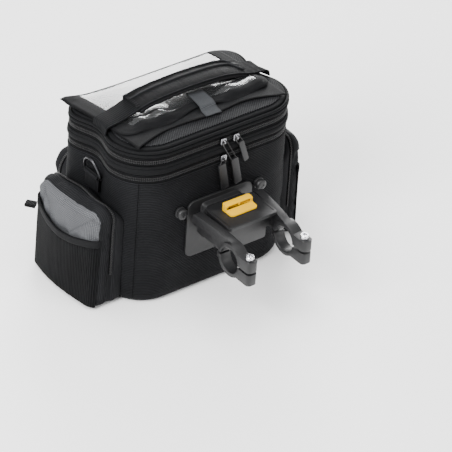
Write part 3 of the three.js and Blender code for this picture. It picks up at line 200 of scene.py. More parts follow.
def ribs_group():
    """Ribs across one direction, with a finer weave in them."""
    tree, given, out = new_group(
        "Fine ribs",
        [
            ("UV", "NodeSocketVector", None),
            ("Rib pitch", "NodeSocketFloat", 0.0023),
            ("Thread pitch", "NodeSocketFloat", 0.0009),
            ("Along U", "NodeSocketFloat", 0.0),
        ],
        [("Height", "NodeSocketFloat"), ("Shade", "NodeSocketFloat")],
    )
    parts = tree.nodes.new("ShaderNodeSeparateXYZ")
    tree.links.new(given.outputs["UV"], parts.inputs[0])
    u, v = parts.outputs[0], parts.outputs[1]
    turned = given.outputs["Along U"]
    straight = maths(tree, "SUBTRACT", 1.0, turned)
    across = maths(tree, "ADD", maths(tree, "MULTIPLY", u, turned), maths(tree, "MULTIPLY", v, straight))
    along = maths(tree, "ADD", maths(tree, "MULTIPLY", v, turned), maths(tree, "MULTIPLY", u, straight))
    rib = wave(tree, across, given.outputs["Rib pitch"])
    thread = wave(tree, along, given.outputs["Thread pitch"])
    rounded = maths(tree, "POWER", rib, 0.7)
    height = maths(tree, "MULTIPLY", rounded, maths(tree, "MULTIPLY_ADD", thread, 0.25, 0.75))
    tree.links.new(height, out.inputs["Height"])
    # Shade is the rounded rib wave, which the cloth uses to paint shade into its grooves.
    tree.links.new(rounded, out.inputs["Shade"])
    return tree


def weave_group():
    """A plain weave: threads over and under in both directions."""
    tree, given, out = new_group(
        "Plain weave",
        [("UV", "NodeSocketVector", None), ("Pitch", "NodeSocketFloat", 0.0008)],
        [("Height", "NodeSocketFloat")],
    )
    parts = tree.nodes.new("ShaderNodeSeparateXYZ")
    tree.links.new(given.outputs["UV"], parts.inputs[0])
    u = wave(tree, parts.outputs[0], given.outputs["Pitch"])
    v = wave(tree, parts.outputs[1], given.outputs["Pitch"])
    tree.links.new(maths(tree, "MULTIPLY", u, v), out.inputs["Height"])
    return tree


def net_group():
    """Diamond net: 1 on a strand and 0 in a hole."""
    tree, given, out = new_group(
        "Diamond net",
        [("UV", "NodeSocketVector", None), ("Pitch", "NodeSocketFloat", 0.003), ("Strand", "NodeSocketFloat", 0.36)],
        [("Strand", "NodeSocketFloat"), ("Height", "NodeSocketFloat")],
    )
    parts = tree.nodes.new("ShaderNodeSeparateXYZ")
    tree.links.new(given.outputs["UV"], parts.inputs[0])
    u = maths(tree, "DIVIDE", parts.outputs[0], given.outputs["Pitch"])
    v = maths(tree, "DIVIDE", parts.outputs[1], given.outputs["Pitch"])
    one = maths(tree, "ABSOLUTE", maths(tree, "SINE", maths(tree, "MULTIPLY", maths(tree, "ADD", u, v), math.pi)))
    two = maths(tree, "ABSOLUTE", maths(tree, "SINE", maths(tree, "MULTIPLY", maths(tree, "SUBTRACT", u, v), math.pi)))
    hole = maths(tree, "MINIMUM", one, two)
    strand = maths(tree, "LESS_THAN", hole, given.outputs["Strand"])
    height = maths(tree, "SUBTRACT", 1.0, maths(tree, "SMOOTH_MIN", hole, 0.6, 0.2))
    tree.links.new(strand, out.inputs["Strand"])
    tree.links.new(height, out.inputs["Height"])
    return tree


def wear_group():
    """Cloudy lightening of a dark surface, and a fine speckle for its roughness."""
    tree, given, out = new_group(
        "Wear",
        [("Position", "NodeSocketVector", None), ("Size", "NodeSocketFloat", 26.0)],
        [("Cloud", "NodeSocketFloat"), ("Speckle", "NodeSocketFloat")],
    )
    for label, factor, detail in (("Cloud", 1.0, 4.0), ("Speckle", 60.0, 2.0)):
        texture = tree.nodes.new("ShaderNodeTexNoise")
        texture.inputs["Detail"].default_value = detail
        tree.links.new(given.outputs["Position"], texture.inputs["Vector"])
        tree.links.new(maths(tree, "MULTIPLY", given.outputs["Size"], factor), texture.inputs["Scale"])
        tree.links.new(texture.outputs[0], out.inputs[label])
    return tree


def line_group():
    """Mask of a seam line that runs at one value of a coordinate, with its groove and a row of stitches beside it."""
    tree, given, out = new_group(
        "Seam line",
        [
            ("Across", "NodeSocketFloat", 0.0),
            ("Along", "NodeSocketFloat", 0.0),
            ("Place", "NodeSocketFloat", 0.0),
            ("Half width", "NodeSocketFloat", 0.0007),
            ("Stitch offset", "NodeSocketFloat", 0.002),
            ("Stitch pitch", "NodeSocketFloat", 0.0032),
        ],
        [("Groove", "NodeSocketFloat"), ("Stitch", "NodeSocketFloat")],
    )
    away = maths(tree, "SUBTRACT", given.outputs["Across"], given.outputs["Place"])
    near = maths(tree, "DIVIDE", maths(tree, "ABSOLUTE", away), given.outputs["Half width"])
    groove = maths(tree, "MAXIMUM", maths(tree, "SUBTRACT", 1.0, near), 0.0)
    beside = maths(tree, "ABSOLUTE", maths(tree, "SUBTRACT", away, given.outputs["Stitch offset"]))
    thin = maths(tree, "LESS_THAN", beside, maths(tree, "MULTIPLY", given.outputs["Half width"], 0.5))
    dash = maths(tree, "GREATER_THAN", wave(tree, given.outputs["Along"], given.outputs["Stitch pitch"]), 0.3)
    tree.links.new(groove, out.inputs["Groove"])
    tree.links.new(maths(tree, "MULTIPLY", thin, dash), out.inputs["Stitch"])
    return tree


GROUPS = {}


def shared_group(name):
    """The shader group of that name, made once."""
    makers = {"ribs": ribs_group, "weave": weave_group, "net": net_group, "wear": wear_group, "line": line_group}
    if name not in GROUPS:
        GROUPS[name] = makers[name]()
    return GROUPS[name]


class Finish:
    """A material with its coordinates and its shader, ready for groups to be added."""

    def __init__(self, name, colour, roughness, **settings):
        self.material = bpy.data.materials.new(name)
        self.material.use_nodes = True
        self.tree = self.material.node_tree
        self.tree.nodes.clear()
        self.output = self.tree.nodes.new("ShaderNodeOutputMaterial")
        self.shader = self.tree.nodes.new("ShaderNodeBsdfPrincipled")
        self.tree.links.new(self.shader.outputs[0], self.output.inputs[0])
        self.set("Base Color", (*colour, 1.0))
        self.set("Roughness", roughness)
        for label, value in settings.items():
            self.set(label.replace("_", " "), value)
        self.position = self.tree.nodes.new("ShaderNodeTexCoord").outputs["Object"]
        mapped = self.tree.nodes.new("ShaderNodeUVMap")
        mapped.uv_map = "Cloth"
        self.uv = mapped.outputs[0]
        parts = self.tree.nodes.new("ShaderNodeSeparateXYZ")
        self.tree.links.new(self.uv, parts.inputs[0])
        self.u, self.v = parts.outputs[0], parts.outputs[1]

    def set(self, label, value):
        self.shader.inputs[label].default_value = value

    def link(self, socket, label):
        self.tree.links.new(socket, self.shader.inputs[label])

    def group(self, name, **values):
        """Adds a shared group. Values are numbers or sockets, with _ for a space in a socket's name."""
        node = self.tree.nodes.new("ShaderNodeGroup")
        node.node_tree = shared_group(name)
        for label, value in values.items():
            socket = node.inputs[label.replace("_", " ")]
            if isinstance(value, (int, float)):
                socket.default_value = value
            else:
                self.tree.links.new(value, socket)
        return node.outputs

    def bump(self, height, depth, onto=None):
        """A bump of that depth in metres, on top of an earlier one."""
        node = self.tree.nodes.new("ShaderNodeBump")
        node.inputs["Distance"].default_value = depth
        self.tree.links.new(height, node.inputs["Height"])
        if onto is not None:
            self.tree.links.new(onto, node.inputs["Normal"])
        self.link(node.outputs[0], "Normal")
        return node.outputs[0]


def cloudy(finish, dark, light, size=26.0):
    """Colour that drifts between two tones, and the wear group that moves it."""
    wear = finish.group("wear", Position=finish.position, Size=size)
    return blend_colour(finish.tree, wear["Cloud"], dark, light), wear


def ribbed_finish(name, dark, light, pitch, thread, along_u=0.0, depth=0.0004, seams=()):
    """Cloth with ribs, with painted shade in the rib grooves and the seam grooves. seams gives the values of U at
    which a stitched seam runs up the cloth.
    """
    finish = Finish(name, dark, 0.72, Specular_IOR_Level=0.07)
    tree = finish.tree
    colour, _ = cloudy(finish, dark, light)
    ribs = finish.group("ribs", UV=finish.uv, Rib_pitch=pitch, Thread_pitch=thread, Along_U=along_u)
    # Painted shade: the rib grooves are darkened to a third of the dark tone in the colour, besides their bump.
    shaded = blend_colour(tree, ribs["Shade"], tuple(c * 0.35 for c in dark), colour)
    normal = finish.bump(ribs["Height"], depth)
    for seam in seams:
        line = finish.group("line", Across=finish.u, Along=finish.v, Place=seam)
        # Painted shade: each seam's groove is darkened nearly to black in the colour, besides its bump.
        shaded = blend_colour(tree, line["Groove"], shaded, tuple(c * 0.15 for c in dark))
        normal = finish.bump(maths(tree, "SUBTRACT", line["Stitch"], line["Groove"]), 0.0009, normal)
    finish.link(shaded, "Base Color")
    return finish.material


def smooth_cloth_finish(name, dark, light, pitch=0.0009, depth=0.00012, roughness=0.7):
    """Coated cloth with a fine weave, with painted shade in the hollows between its threads."""
    finish = Finish(name, dark, roughness, Specular_IOR_Level=0.09)
    colour, _ = cloudy(finish, dark, light)
    weave = finish.group("weave", UV=finish.uv, Pitch=pitch)
    # Painted shade: the low points of the weave are darkened in the colour, besides their bump.
    shaded = blend_colour(finish.tree, weave["Height"], tuple(c * 0.6 for c in dark), colour)
    finish.bump(weave["Height"], depth)
    finish.link(shaded, "Base Color")
    return finish.material


def netting_finish():
    """Diamond net over dark cloth."""
    finish = Finish("Netting", (0.012, 0.0125, 0.0135), 0.7, Specular_IOR_Level=0.08)
    net = finish.group("net", UV=finish.uv, Pitch=0.0034)
    shaded = blend_colour(finish.tree, net["Strand"], (0.003, 0.003, 0.0035), (0.028, 0.029, 0.031))
    finish.link(shaded, "Base Color")
    finish.bump(net["Height"], 0.0006)
    return finish.material


def plastic_finish(name, dark, light, roughness, grain=0.00004, shine=0.4):
    finish = Finish(name, dark, roughness, Specular_IOR_Level=shine)
    tree = finish.tree
    colour, wear = cloudy(finish, dark, light, size=40.0)
    finish.link(colour, "Base Color")
    finish.link(maths(tree, "MULTIPLY_ADD", wear["Speckle"], 0.14, roughness - 0.07), "Roughness")
    finish.bump(wear["Speckle"], grain)
    return finish.material


def metal_finish(name, tone, roughness):
    finish = Finish(name, tone, roughness, Metallic=1.0)
    wear = finish.group("wear", Position=finish.position, Size=60.0)
    finish.link(maths(finish.tree, "MULTIPLY_ADD", wear["Speckle"], 0.12, roughness - 0.06), "Roughness")
    finish.bump(wear["Cloud"], 0.00002)
    return finish.material


def clear_finish():
    """A clear soft sheet: mostly a mirror at a low angle, and see-through from above."""
    material = bpy.data.materials.new("Clear sheet")
    material.use_nodes = True
    tree = material.node_tree
    tree.nodes.clear()
    output = tree.nodes.new("ShaderNodeOutputMaterial")
    clear = tree.nodes.new("ShaderNodeBsdfTransparent")
    clear.inputs["Color"].default_value = (0.80, 0.82, 0.84, 1.0)
    haze = tree.nodes.new("ShaderNodeBsdfDiffuse")
    haze.inputs["Color"].default_value = (0.55, 0.57, 0.59, 1.0)
    gloss = tree.nodes.new("ShaderNodeBsdfAnisotropic")
    gloss.inputs["Roughness"].default_value = 0.21
    fresnel = tree.nodes.new("ShaderNodeFresnel")
    fresnel.inputs["IOR"].default_value = 1.65
    position = tree.nodes.new("ShaderNodeTexCoord").outputs["Object"]
    wear = tree.nodes.new("ShaderNodeGroup")
    wear.node_tree = shared_group("wear")
    wear.inputs["Size"].default_value = 14.0
    tree.links.new(position, wear.inputs["Position"])
    bump = tree.nodes.new("ShaderNodeBump")
    bump.inputs["Distance"].default_value = 0.0002
    tree.links.new(wear.outputs["Cloud"], bump.inputs["Height"])
    for node in (gloss, fresnel):
        tree.links.new(bump.outputs[0], node.inputs["Normal"])
    body = tree.nodes.new("ShaderNodeMixShader")
    body.inputs[0].default_value = 0.02
    tree.links.new(clear.outputs[0], body.inputs[1])
    tree.links.new(haze.outputs[0], body.inputs[2])
    mixed = tree.nodes.new("ShaderNodeMixShader")
    tree.links.new(fresnel.outputs[0], mixed.inputs[0])
    tree.links.new(body.outputs[0], mixed.inputs[1])
    tree.links.new(gloss.outputs[0], mixed.inputs[2])
    tree.links.new(mixed.outputs[0], output.inputs[0])
    return material


def make_finishes():
    """Every material, by a short name for its kind."""
    return {
        "body": ribbed_finish(
            "Ribbed cloth", (0.0038, 0.004, 0.0047), (0.0165, 0.017, 0.0188), 0.0023, 0.0009, depth=0.0008,
            seams=(0.039, 0.540),
        ),
        "pocket": ribbed_finish(
            "Pocket cloth", (0.0065, 0.0067, 0.0075), (0.02, 0.0205, 0.0225), 0.0019, 0.0008, depth=0.0003
        ),
        "smooth": smooth_cloth_finish("Smooth cloth", (0.004, 0.0042, 0.0048), (0.0115, 0.0118, 0.013)),
        "neoprene": smooth_cloth_finish(
            "Handle cloth", (0.0035, 0.0037, 0.0042), (0.0075, 0.0078, 0.0086), 0.0006, 0.00008, 0.6
        ),
        "welt": ribbed_finish("Welt", (0.012, 0.0125, 0.0138), (0.032, 0.033, 0.036), 0.0012, 0.0006, depth=0.0002),
        # The pockets' faces get a much lighter copy of the dark pocket cloth: painted light where the lamp falls on
        # them.
        "face": smooth_cloth_finish("Pocket face", (0.072, 0.074, 0.079), (0.21, 0.216, 0.23), 0.0019, 0.0003),
        "zip": ribbed_finish(
            "Zip tape", (0.002, 0.0021, 0.0024), (0.006, 0.0062, 0.007), 0.0011, 0.0007, depth=0.00015
        ),
        "teeth": plastic_finish("Zip teeth", (0.0036, 0.0036, 0.0039), (0.0084, 0.0084, 0.009), 0.38),
        "netting": netting_finish(),
        "webbing": ribbed_finish(
            "Webbing", (0.0035, 0.0037, 0.0043), (0.017, 0.0175, 0.0192), 0.0030, 0.0007, 1.0, 0.0012
        ),
        "elastic": ribbed_finish(
            "Rib knit", (0.0016, 0.0017, 0.002), (0.0075, 0.0078, 0.0088), 0.0026, 0.0012, 1.0, 0.0011
        ),
        "tape": ribbed_finish("Grey tape", (0.032, 0.034, 0.037), (0.062, 0.065, 0.07), 0.0013, 0.0007, depth=0.0002),
        "clear": clear_finish(),
        "ring": metal_finish("Ring metal", (0.05, 0.05, 0.053), 0.36),
        "slider": metal_finish("Slider metal", (0.20, 0.20, 0.21), 0.2),
        "pull": plastic_finish("Pull rubber", (0.0036, 0.0036, 0.0042), (0.0084, 0.0084, 0.0093), 0.5),
        "plastic": plastic_finish("Black plastic", (0.0036, 0.0036, 0.0041), (0.0072, 0.0072, 0.0078), 0.46),
        "yellow": plastic_finish("Yellow plastic", (0.55, 0.30, 0.0), (0.64, 0.37, 0.0), 0.5, shine=0.04),
        "steel": metal_finish("Bolt steel", (0.62, 0.62, 0.64), 0.22),
    }


# Mesh building


def lengths(points, closed):
    """Running length along a row of points, with the closing stretch at the end of a closed one."""
    loop = np.vstack([points, points[:1]]) if closed else points
    return np.concatenate([[0.0], np.cumsum(np.linalg.norm(np.diff(loop, axis=0), axis=1))])


def add_object(name, data):
    """An object of the scene with that mesh, light or camera."""
    obj = bpy.data.objects.new(name, data)
    bpy.context.scene.collection.objects.link(obj)
    return obj


def smooth(mesh):
    mesh.polygons.foreach_set("use_smooth", [True] * len(mesh.polygons))


def map_by_place(obj, flatten):
    """Gives a piece its UV map, in metres, by a function of each corner's place."""
    layer = obj.data.uv_layers.get("Cloth") or obj.data.uv_layers.new(name="Cloth")
    flat = []
    for loop in obj.data.loops:
        flat += flatten(obj.data.vertices[loop.vertex_index].co)
    layer.data.foreach_set("uv", flat)


def rounded(corners, counts, bend=None):
    """Points round an outline with four corners of (x, y, radius, start in degrees, steps).

    counts gives the steps of the straight run after each corner. bend moves a point of a run, by (side, share, x).
    """
    points = []
    for side, (x, y, radius, turn, steps) in enumerate(corners):
        for i in range(steps + 1):
            angle = math.radians(turn + 90 * i / steps)
            points.append((x + radius * math.cos(angle), y + radius * math.sin(angle)))
        nx, ny, next_radius, next_turn, _ = corners[(side + 1) % 4]
        angle = math.radians(next_turn)
        end = (nx + next_radius * math.cos(angle), ny + next_radius * math.sin(angle))
        start = points[-1]
        for i in range(1, counts[side]):
            share = i / counts[side]
            px = start[0] + (end[0] - start[0]) * share
            py = start[1] + (end[1] - start[1]) * share
            points.append((px if bend is None else bend(side, share, px), py))
    return points


def skin(name, grid, close_u=True, close_v=False, ends=(False, False), us=None, vs=None):
    """A mesh over rows of points, with a UV map in metres: U along a row and V across the rows."""
    grid = np.asarray(grid, float)
    rows, columns = grid.shape[:2]
    if us is None:
        us = lengths(grid[rows // 2], close_u)
    if vs is None:
        vs = lengths(grid[:, columns // 3], close_v)
    mesh = bpy.data.meshes.new(name)
    vertices = [tuple(p) for p in grid.reshape(-1, 3)]
    faces, corners = [], []
    for r in range(rows if close_v else rows - 1):
        for c in range(columns if close_u else columns - 1):
            r2, c2 = (r + 1) % rows, (c + 1) % columns
            faces.append((r * columns + c, r * columns + c2, r2 * columns + c2, r2 * columns + c))
            corners += [(us[c], vs[r]), (us[c + 1], vs[r]), (us[c + 1], vs[r + 1]), (us[c], vs[r + 1])]
    for is_capped, row, back in ((ends[0], 0, True), (ends[1], rows - 1, False)):
        if not is_capped:
            continue
        ring = list(range(row * columns, (row + 1) * columns))
        middle = len(vertices)
        centre = grid[row].mean(axis=0)
        vertices.append(tuple(centre))
        for c in range(columns):
            pair = (ring[c], ring[(c + 1) % columns])
            faces.append((*(reversed(pair) if back else pair), middle))
            places = [vertices[i] for i in faces[-1]]
            corners += [(p[0], p[1]) for p in places]
    mesh.from_pydata(vertices, [], faces)
    layer = mesh.uv_layers.new(name="Cloth")
    layer.data.foreach_set("uv", np.asarray(corners, float).ravel())
    smooth(mesh)
    outward(mesh)
    return add_object(name, mesh)


def outward(mesh):
    """Turns every face outwards."""
    work = bmesh.new()
    work.from_mesh(mesh)
    bmesh.ops.recalc_face_normals(work, faces=work.faces)
    work.to_mesh(mesh)
    work.free()


def applied(obj):
    """Bakes an object's modifiers into its mesh."""
    bpy.context.view_layer.update()
    graph = bpy.context.evaluated_depsgraph_get()
    mesh = bpy.data.meshes.new_from_object(obj.evaluated_get(graph))
    obj.modifiers.clear()
    old = obj.data
    obj.data = mesh
    bpy.data.meshes.remove(old)
    return obj


def thicken(obj, wall):
    """Gives a single layer its wall, outwards."""
    modifier = obj.modifiers.new("Wall", "SOLIDIFY")
    modifier.thickness = wall
    modifier.offset = 1.0
    modifier.use_even_offset = False
    return applied(obj)


def from_node(node, name, bevel, segments=2, angle=32):
    """A copy of a CAD node's mesh with its edges rounded."""
    mesh = frame["nodes"][node].data.copy()
    mesh.name = name
    mesh.materials.clear()
    work = bmesh.new()
    work.from_mesh(mesh)
    bmesh.ops.remove_doubles(work, verts=work.verts, dist=1e-6)
    bmesh.ops.dissolve_limit(work, angle_limit=math.radians(1.0), verts=work.verts, edges=work.edges)
    work.to_mesh(mesh)
    work.free()
    obj = add_object(name, mesh)
    modifier = obj.modifiers.new("Round", "BEVEL")
    modifier.width = bevel
    modifier.segments = segments
    modifier.limit_method = "ANGLE"
    modifier.angle_limit = math.radians(angle)
    modifier.use_clamp_overlap = True
    applied(obj)
    smooth(obj.data)
    obj.data.set_sharp_from_angle(angle=math.radians(angle))
    map_by_place(obj, lambda p: (p.x, p.y + p.z))
    return obj


def place(obj, finish, slot, body="bag", stands_for=()):
    """Gives a piece its material, the body that it moves with and the CAD nodes that it stands for."""
    obj.data.materials.clear()
    obj.data.materials.append(FINISHES[finish])
    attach(obj, body)
    if stands_for:
        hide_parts(*([stands_for] if isinstance(stands_for, str) else stands_for))
    return obj


def mirror_copy(obj, name):
    """The same piece on the other side of the middle."""
    mesh = obj.data.copy()
    mesh.name = name
    mesh.transform(Matrix.Scale(-1, 4, (1, 0, 0)))
    outward(mesh)
    return add_object(name, mesh)


def crumple(obj, depth, size, seed, mask=None, stretch=(1.0, 1.0, 1.0)):
    """Moves a mesh along its normals by layered noise, where a mask of each point lets it."""
    mesh = obj.data
    shift = Vector((seed * 1.7, seed * 0.31, seed * 2.3))
    normals = [v.normal.copy() for v in mesh.vertices]
    for vertex, normal in zip(mesh.vertices, normals):
        weight = 1.0 if mask is None else mask(vertex.co)
        if weight <= 0:
            continue
        p = Vector((vertex.co.x * stretch[0], vertex.co.y * stretch[1], vertex.co.z * stretch[2])) / size + shift
        value = noise.noise(p) + 0.5 * noise.noise(p * 2.1) + 0.25 * noise.noise(p * 4.3)
        vertex.co += normal * (depth * weight * value)
    mesh.update()


def settle(obj, held, pressure, growth, cap):
    """Lets a mesh settle as cloth under inner pressure.

    held gives each point's hold from 0 to 1, growth is how much the cloth may widen, and no point moves past cap.
    """
    settings = bpy.context.scene.cloth_settings
    mesh = obj.data
    rest = np.array([v.co for v in mesh.vertices], float)
    group = obj.vertex_groups.new(name="Held")
    for vertex in mesh.vertices:
        group.add([vertex.index], held(vertex.co), "REPLACE")
    modifier = obj.modifiers.new("Cloth", "CLOTH")
    cloth = modifier.settings
    cloth.vertex_group_mass = "Held"
    cloth.quality = 5
    cloth.mass = 0.3
    cloth.tension_stiffness = 25
    cloth.compression_stiffness = 25
    cloth.shear_stiffness = 8
    cloth.bending_stiffness = 0.6
    cloth.shrink_min = -growth
    cloth.use_pressure = True
    cloth.uniform_pressure_force = pressure
    cloth.effector_weights.gravity = 0
    modifier.collision_settings.use_collision = False
    scene = bpy.context.scene
    modifier.point_cache.frame_start = 1
    modifier.point_cache.frame_end = settings.frames
    for moment in range(1, settings.frames + 1):
        scene.frame_set(moment)
    graph = bpy.context.evaluated_depsgraph_get()
    moved = np.array([v.co for v in obj.evaluated_get(graph).data.vertices], float)
    obj.modifiers.remove(modifier)
    obj.vertex_groups.remove(group)
    scene.frame_set(1)
    step = moved - rest
    size = np.linalg.norm(step, axis=1)
    share = np.minimum(1.0, cap / np.maximum(size, 1e-9))
    final = rest + step * share[:, None]
    mesh.vertices.foreach_set("co", final.ravel())
    mesh.update()
    return obj


def smoothstep(low, high, value):
    share = min(max((value - low) / (high - low), 0.0), 1.0)
    return share * share * (3 - 2 * share)


# Shape of the main body


CORNERS = {"rear": 14, "front": 10}
FLANK_STEPS = 24
FACE_STEPS = 40
FRONT_START = CORNERS["rear"] + FLANK_STEPS + CORNERS["front"]
FRONT_END = FRONT_START + FACE_STEPS


def sizes():
    return bpy.context.scene.bag_sizes


def outline(inset):
    """The bag's outline from above, moved inwards by an inset: from the right rear corner round by the front."""
    s = sizes()
    half = s.width / 2 - inset
    rear, front = max(s.rear_radius - inset, 0.003), max(s.front_radius - inset, 0.003)
    low, high = -s.depth / 2 + inset, s.depth / 2 - inset
    corners = [
        (half - rear, low + rear, rear, -90, CORNERS["rear"]),
        (half - front, high - front, front, 0, CORNERS["front"]),
        (-half + front, high - front, front, 90, CORNERS["front"]),
        (-half + rear, low + rear, rear, 180, CORNERS["rear"]),
    ]

    def waisted(side, share, x):
        return x if side % 2 else x - math.copysign(s.waist * math.sin(math.pi * share) ** 2, x)

    return np.array(rounded(corners, (FLANK_STEPS, FACE_STEPS) * 2, waisted))


def droop(y):
    """Fall of a layer at a depth."""
    s = sizes()
    return s.droop * np.clip((y + s.depth / 2) / s.depth, 0, 1)


def ring_at(inset, level, share=1.0):
    """The outline at a level, with a share of the fall towards the front."""
    flat = outline(inset)
    return np.column_stack([flat, level - share * droop(flat[:, 1])])


def flank(y):
    """Half width of the body at a depth."""
    s = sizes()
    rear_end = -s.depth / 2 + s.rear_radius
    front_start = s.depth / 2 - s.front_radius
    if y < rear_end:
        return s.width / 2 - s.rear_radius + math.sqrt(max(s.rear_radius**2 - (rear_end - y) ** 2, 0))
    if y > front_start:
        return s.width / 2 - s.front_radius + math.sqrt(max(s.front_radius**2 - (y - front_start) ** 2, 0))
    return s.width / 2 - s.waist * math.sin(math.pi * (y - rear_end) / (front_start - rear_end)) ** 2


def front_face(x):
    """Depth of the body's front face at a place across it."""
    s = sizes()
    past = max(abs(x) - (s.width / 2 - s.front_radius), 0)
    return s.depth / 2 - s.front_radius + math.sqrt(max(s.front_radius**2 - past**2, 0))


def lid_surface(x, y):
    """Height of the lid's top."""
    s = sizes()
    crown = max((1 - (x / (s.width / 2)) ** 2) * (1 - (y / (s.depth / 2)) ** 2), 0)
    return s.gusset_top + 0.002 + s.crown * crown - float(droop(np.array(y)))


def swept(name, section, span=None):
    """A band that follows the outline. Its section is a closed row of (inset, level) in metres."""
    rows = [ring_at(inset, level) for inset, level in section]
    if span is None:
        return skin(name, rows, close_u=True, close_v=True)
    picked = np.array([[row[i % len(row)] for i in span] for row in rows])
    across, along = lengths(picked[:, 0], True), lengths(picked[0], False)
    return skin(name, np.transpose(picked, (1, 0, 2)), ends=(True, True), us=across, vs=along)


def soft_section(low, high, shape, wall):
    """Outer profile from low to high by rows of (share, inset in mm), closed by a plain inner face."""
    outer = [(inset * MM, low + (high - low) * share) for share, inset in shape]
    return outer + [(wall, high), (wall, low)]


class BAG_OT_body(bpy.types.Operator):
    """Builds the main body with its rolled upper hem."""

    bl_idname = "bag.body"
    bl_label = "Main body"

    def execute(self, context):
        s = sizes()
        h = s.body_height
        heights = [0, 0.4, 1.2, 2.5, 4.5, 7.5, 12, 18, *range(26, 158, 6), 160, 161.6, 162.4, 163.2, 165, 166.6, 167]
        table_z = [0, 1, 2.5, 6, 11.7, 40, 83, 161.6, 162.4, 163.2, 165.4, 167]
        table_inset = [12, 7.5, 5, 2.4, 1, 0.2, 0, 0.9, 1.5, 0.7, 0.3, 1.2]
        rows = [ring_at(float(np.interp(z, table_z, table_inset)) * MM, z * MM, z * MM / h) for z in heights]
        floor = [ring_at(inset * MM, 0, 0) for inset in (60, 36, 20)]
        inner = [ring_at(0.003, z * MM, z * MM / h) for z in (166.6, 120, 60, 12)]
        inner += [ring_at(0.008, 0.003, 0.0), ring_at(0.040, 0.003, 0.0)]
        grid = [*floor, *rows, *inner]
        base = lengths(np.column_stack([outline(0), np.zeros(len(outline(0)))]), True)
        levels = [-0.05, -0.03, -0.01, *[z * MM for z in heights], 0.169, 0.21, 0.27, 0.32, 0.33, 0.36]
        obj = skin("body_cloth", grid, ends=(True, True), us=base, vs=levels)
        obj.data.validate()

        def free(p):
            away = smoothstep(0.004, 0.03, p.z) * smoothstep(0.158, 0.125, p.z)
            behind_plate = smoothstep(0.034, 0.06, abs(p.x)) if p.y < -0.06 else 1.0
            in_pocket = 0.0 if (abs(p.x) > 0.10 and -0.055 < p.y < 0.075 and p.z < 0.139) else 1.0
            in_front = 0.0 if p.y > 0.07 else 1.0
            return away * behind_plate * in_pocket * in_front

        settings = context.scene.cloth_settings
        crumple(obj, settings.fold_depth, 0.045, settings.seed, free, (1.0, 1.0, 1.6))
        place(obj, "body", "ribbed_cloth", stands_for="body_shell")
        return {"FINISHED"}


class BAG_OT_bands(bpy.types.Operator):
    """Builds the band between the zips, the zip tapes and the hinge strip."""

    bl_idname = "bag.bands"
    bl_label = "Bands and zip tapes"

    def execute(self, context):
        s = sizes()
        wall = 0.002
        band_shape = [
            (0.02, 1.4), (0.10, 0.2), (0.30, -0.8), (0.55, -0.7), (0.66, 0.1),
            (0.70, 1.0), (0.74, 0.2), (0.84, -0.3), (0.93, 0.1), (0.98, 1.2),
        ]
        band = swept("middle_band_cloth", soft_section(s.lower_zip_top, s.band_top, band_shape, wall))
        place(band, "smooth", "smooth_cloth", stands_for="middle_band")
        tape_shape = [(0.02, 1.5), (0.18, 1.2), (0.24, 1.7), (0.76, 1.7), (0.82, 1.2), (0.98, 1.5)]
        lower = swept("lower_zip_tape", soft_section(s.body_height, s.lower_zip_top, tape_shape, 0.0032))
        place(lower, "zip", "zip_cloth", stands_for="lower_zip")
        three = list(range(FRONT_END, FRONT_START + 2 * (sum(CORNERS.values()) + FLANK_STEPS + FACE_STEPS) + 1))
        upper = swept("upper_zip_tape", soft_section(s.band_top, s.upper_zip_top, tape_shape, 0.0032), three)
        place(upper, "zip", "zip_cloth", stands_for="upper_zip")
        strip_shape = [(0.02, 0.8), (0.3, 0.1), (0.7, 0.1), (0.98, 0.8)]
        front = list(range(FRONT_START, FRONT_END + 1))
        hinge = swept("lid_hinge_cloth", soft_section(s.band_top, s.upper_zip_top, strip_shape, wall), front)
        place(hinge, "smooth", "smooth_cloth", stands_for="lid_hinge")
        return {"FINISHED"}


# Zip teeth


def teeth_tree():
    """Geometry Nodes: a tooth on every pitch of a line, turned along it, joined to one mesh."""
    tree = bpy.data.node_groups.new("Teeth on a line", "GeometryNodeTree")
    tree.interface.new_socket("Line", in_out="INPUT", socket_type="NodeSocketGeometry")
    tree.interface.new_socket("Tooth", in_out="INPUT", socket_type="NodeSocketObject")
    tree.interface.new_socket("Pitch", in_out="INPUT", socket_type="NodeSocketFloat")
    tree.interface.new_socket("Finish", in_out="INPUT", socket_type="NodeSocketMaterial")
    tree.interface.new_socket("Mesh", in_out="OUTPUT", socket_type="NodeSocketGeometry")
    given, out = tree.nodes.new("NodeGroupInput"), tree.nodes.new("NodeGroupOutput")
    node = {
        key: tree.nodes.new(kind)
        for key, kind in {
            "curve": "GeometryNodeMeshToCurve",
            "points": "GeometryNodeCurveToPoints",
            "info": "GeometryNodeObjectInfo",
            "instances": "GeometryNodeInstanceOnPoints",
            "real": "GeometryNodeRealizeInstances",
            "paint": "GeometryNodeSetMaterial",
        }.items()
    }
    node["points"].mode = "LENGTH"
    link = tree.links.new
    link(given.outputs["Line"], node["curve"].inputs["Mesh"])
    link(node["curve"].outputs[0], node["points"].inputs["Curve"])
    link(given.outputs["Pitch"], node["points"].inputs["Length"])
    link(node["points"].outputs["Points"], node["instances"].inputs["Points"])
    link(node["points"].outputs["Rotation"], node["instances"].inputs["Rotation"])
    link(given.outputs["Tooth"], node["info"].inputs["Object"])
    link(node["info"].outputs["Geometry"], node["instances"].inputs["Instance"])
    link(node["instances"].outputs[0], node["real"].inputs[0])
    link(node["real"].outputs[0], node["paint"].inputs["Geometry"])
    link(given.outputs["Finish"], node["paint"].inputs["Material"])
    link(node["paint"].outputs[0], out.inputs["Mesh"])
    return tree


def tooth(width, length, height):
    """One rounded tooth: X is out of the tape, Y across it and Z along the zip."""
    work = bmesh.new()
    bmesh.ops.create_uvsphere(work, u_segments=8, v_segments=5, radius=0.5)
    bmesh.ops.scale(work, vec=(height, width, length), verts=work.verts)
    mesh = bpy.data.meshes.new("Tooth")
    work.to_mesh(mesh)
    work.free()
    return add_object("Tooth", mesh)


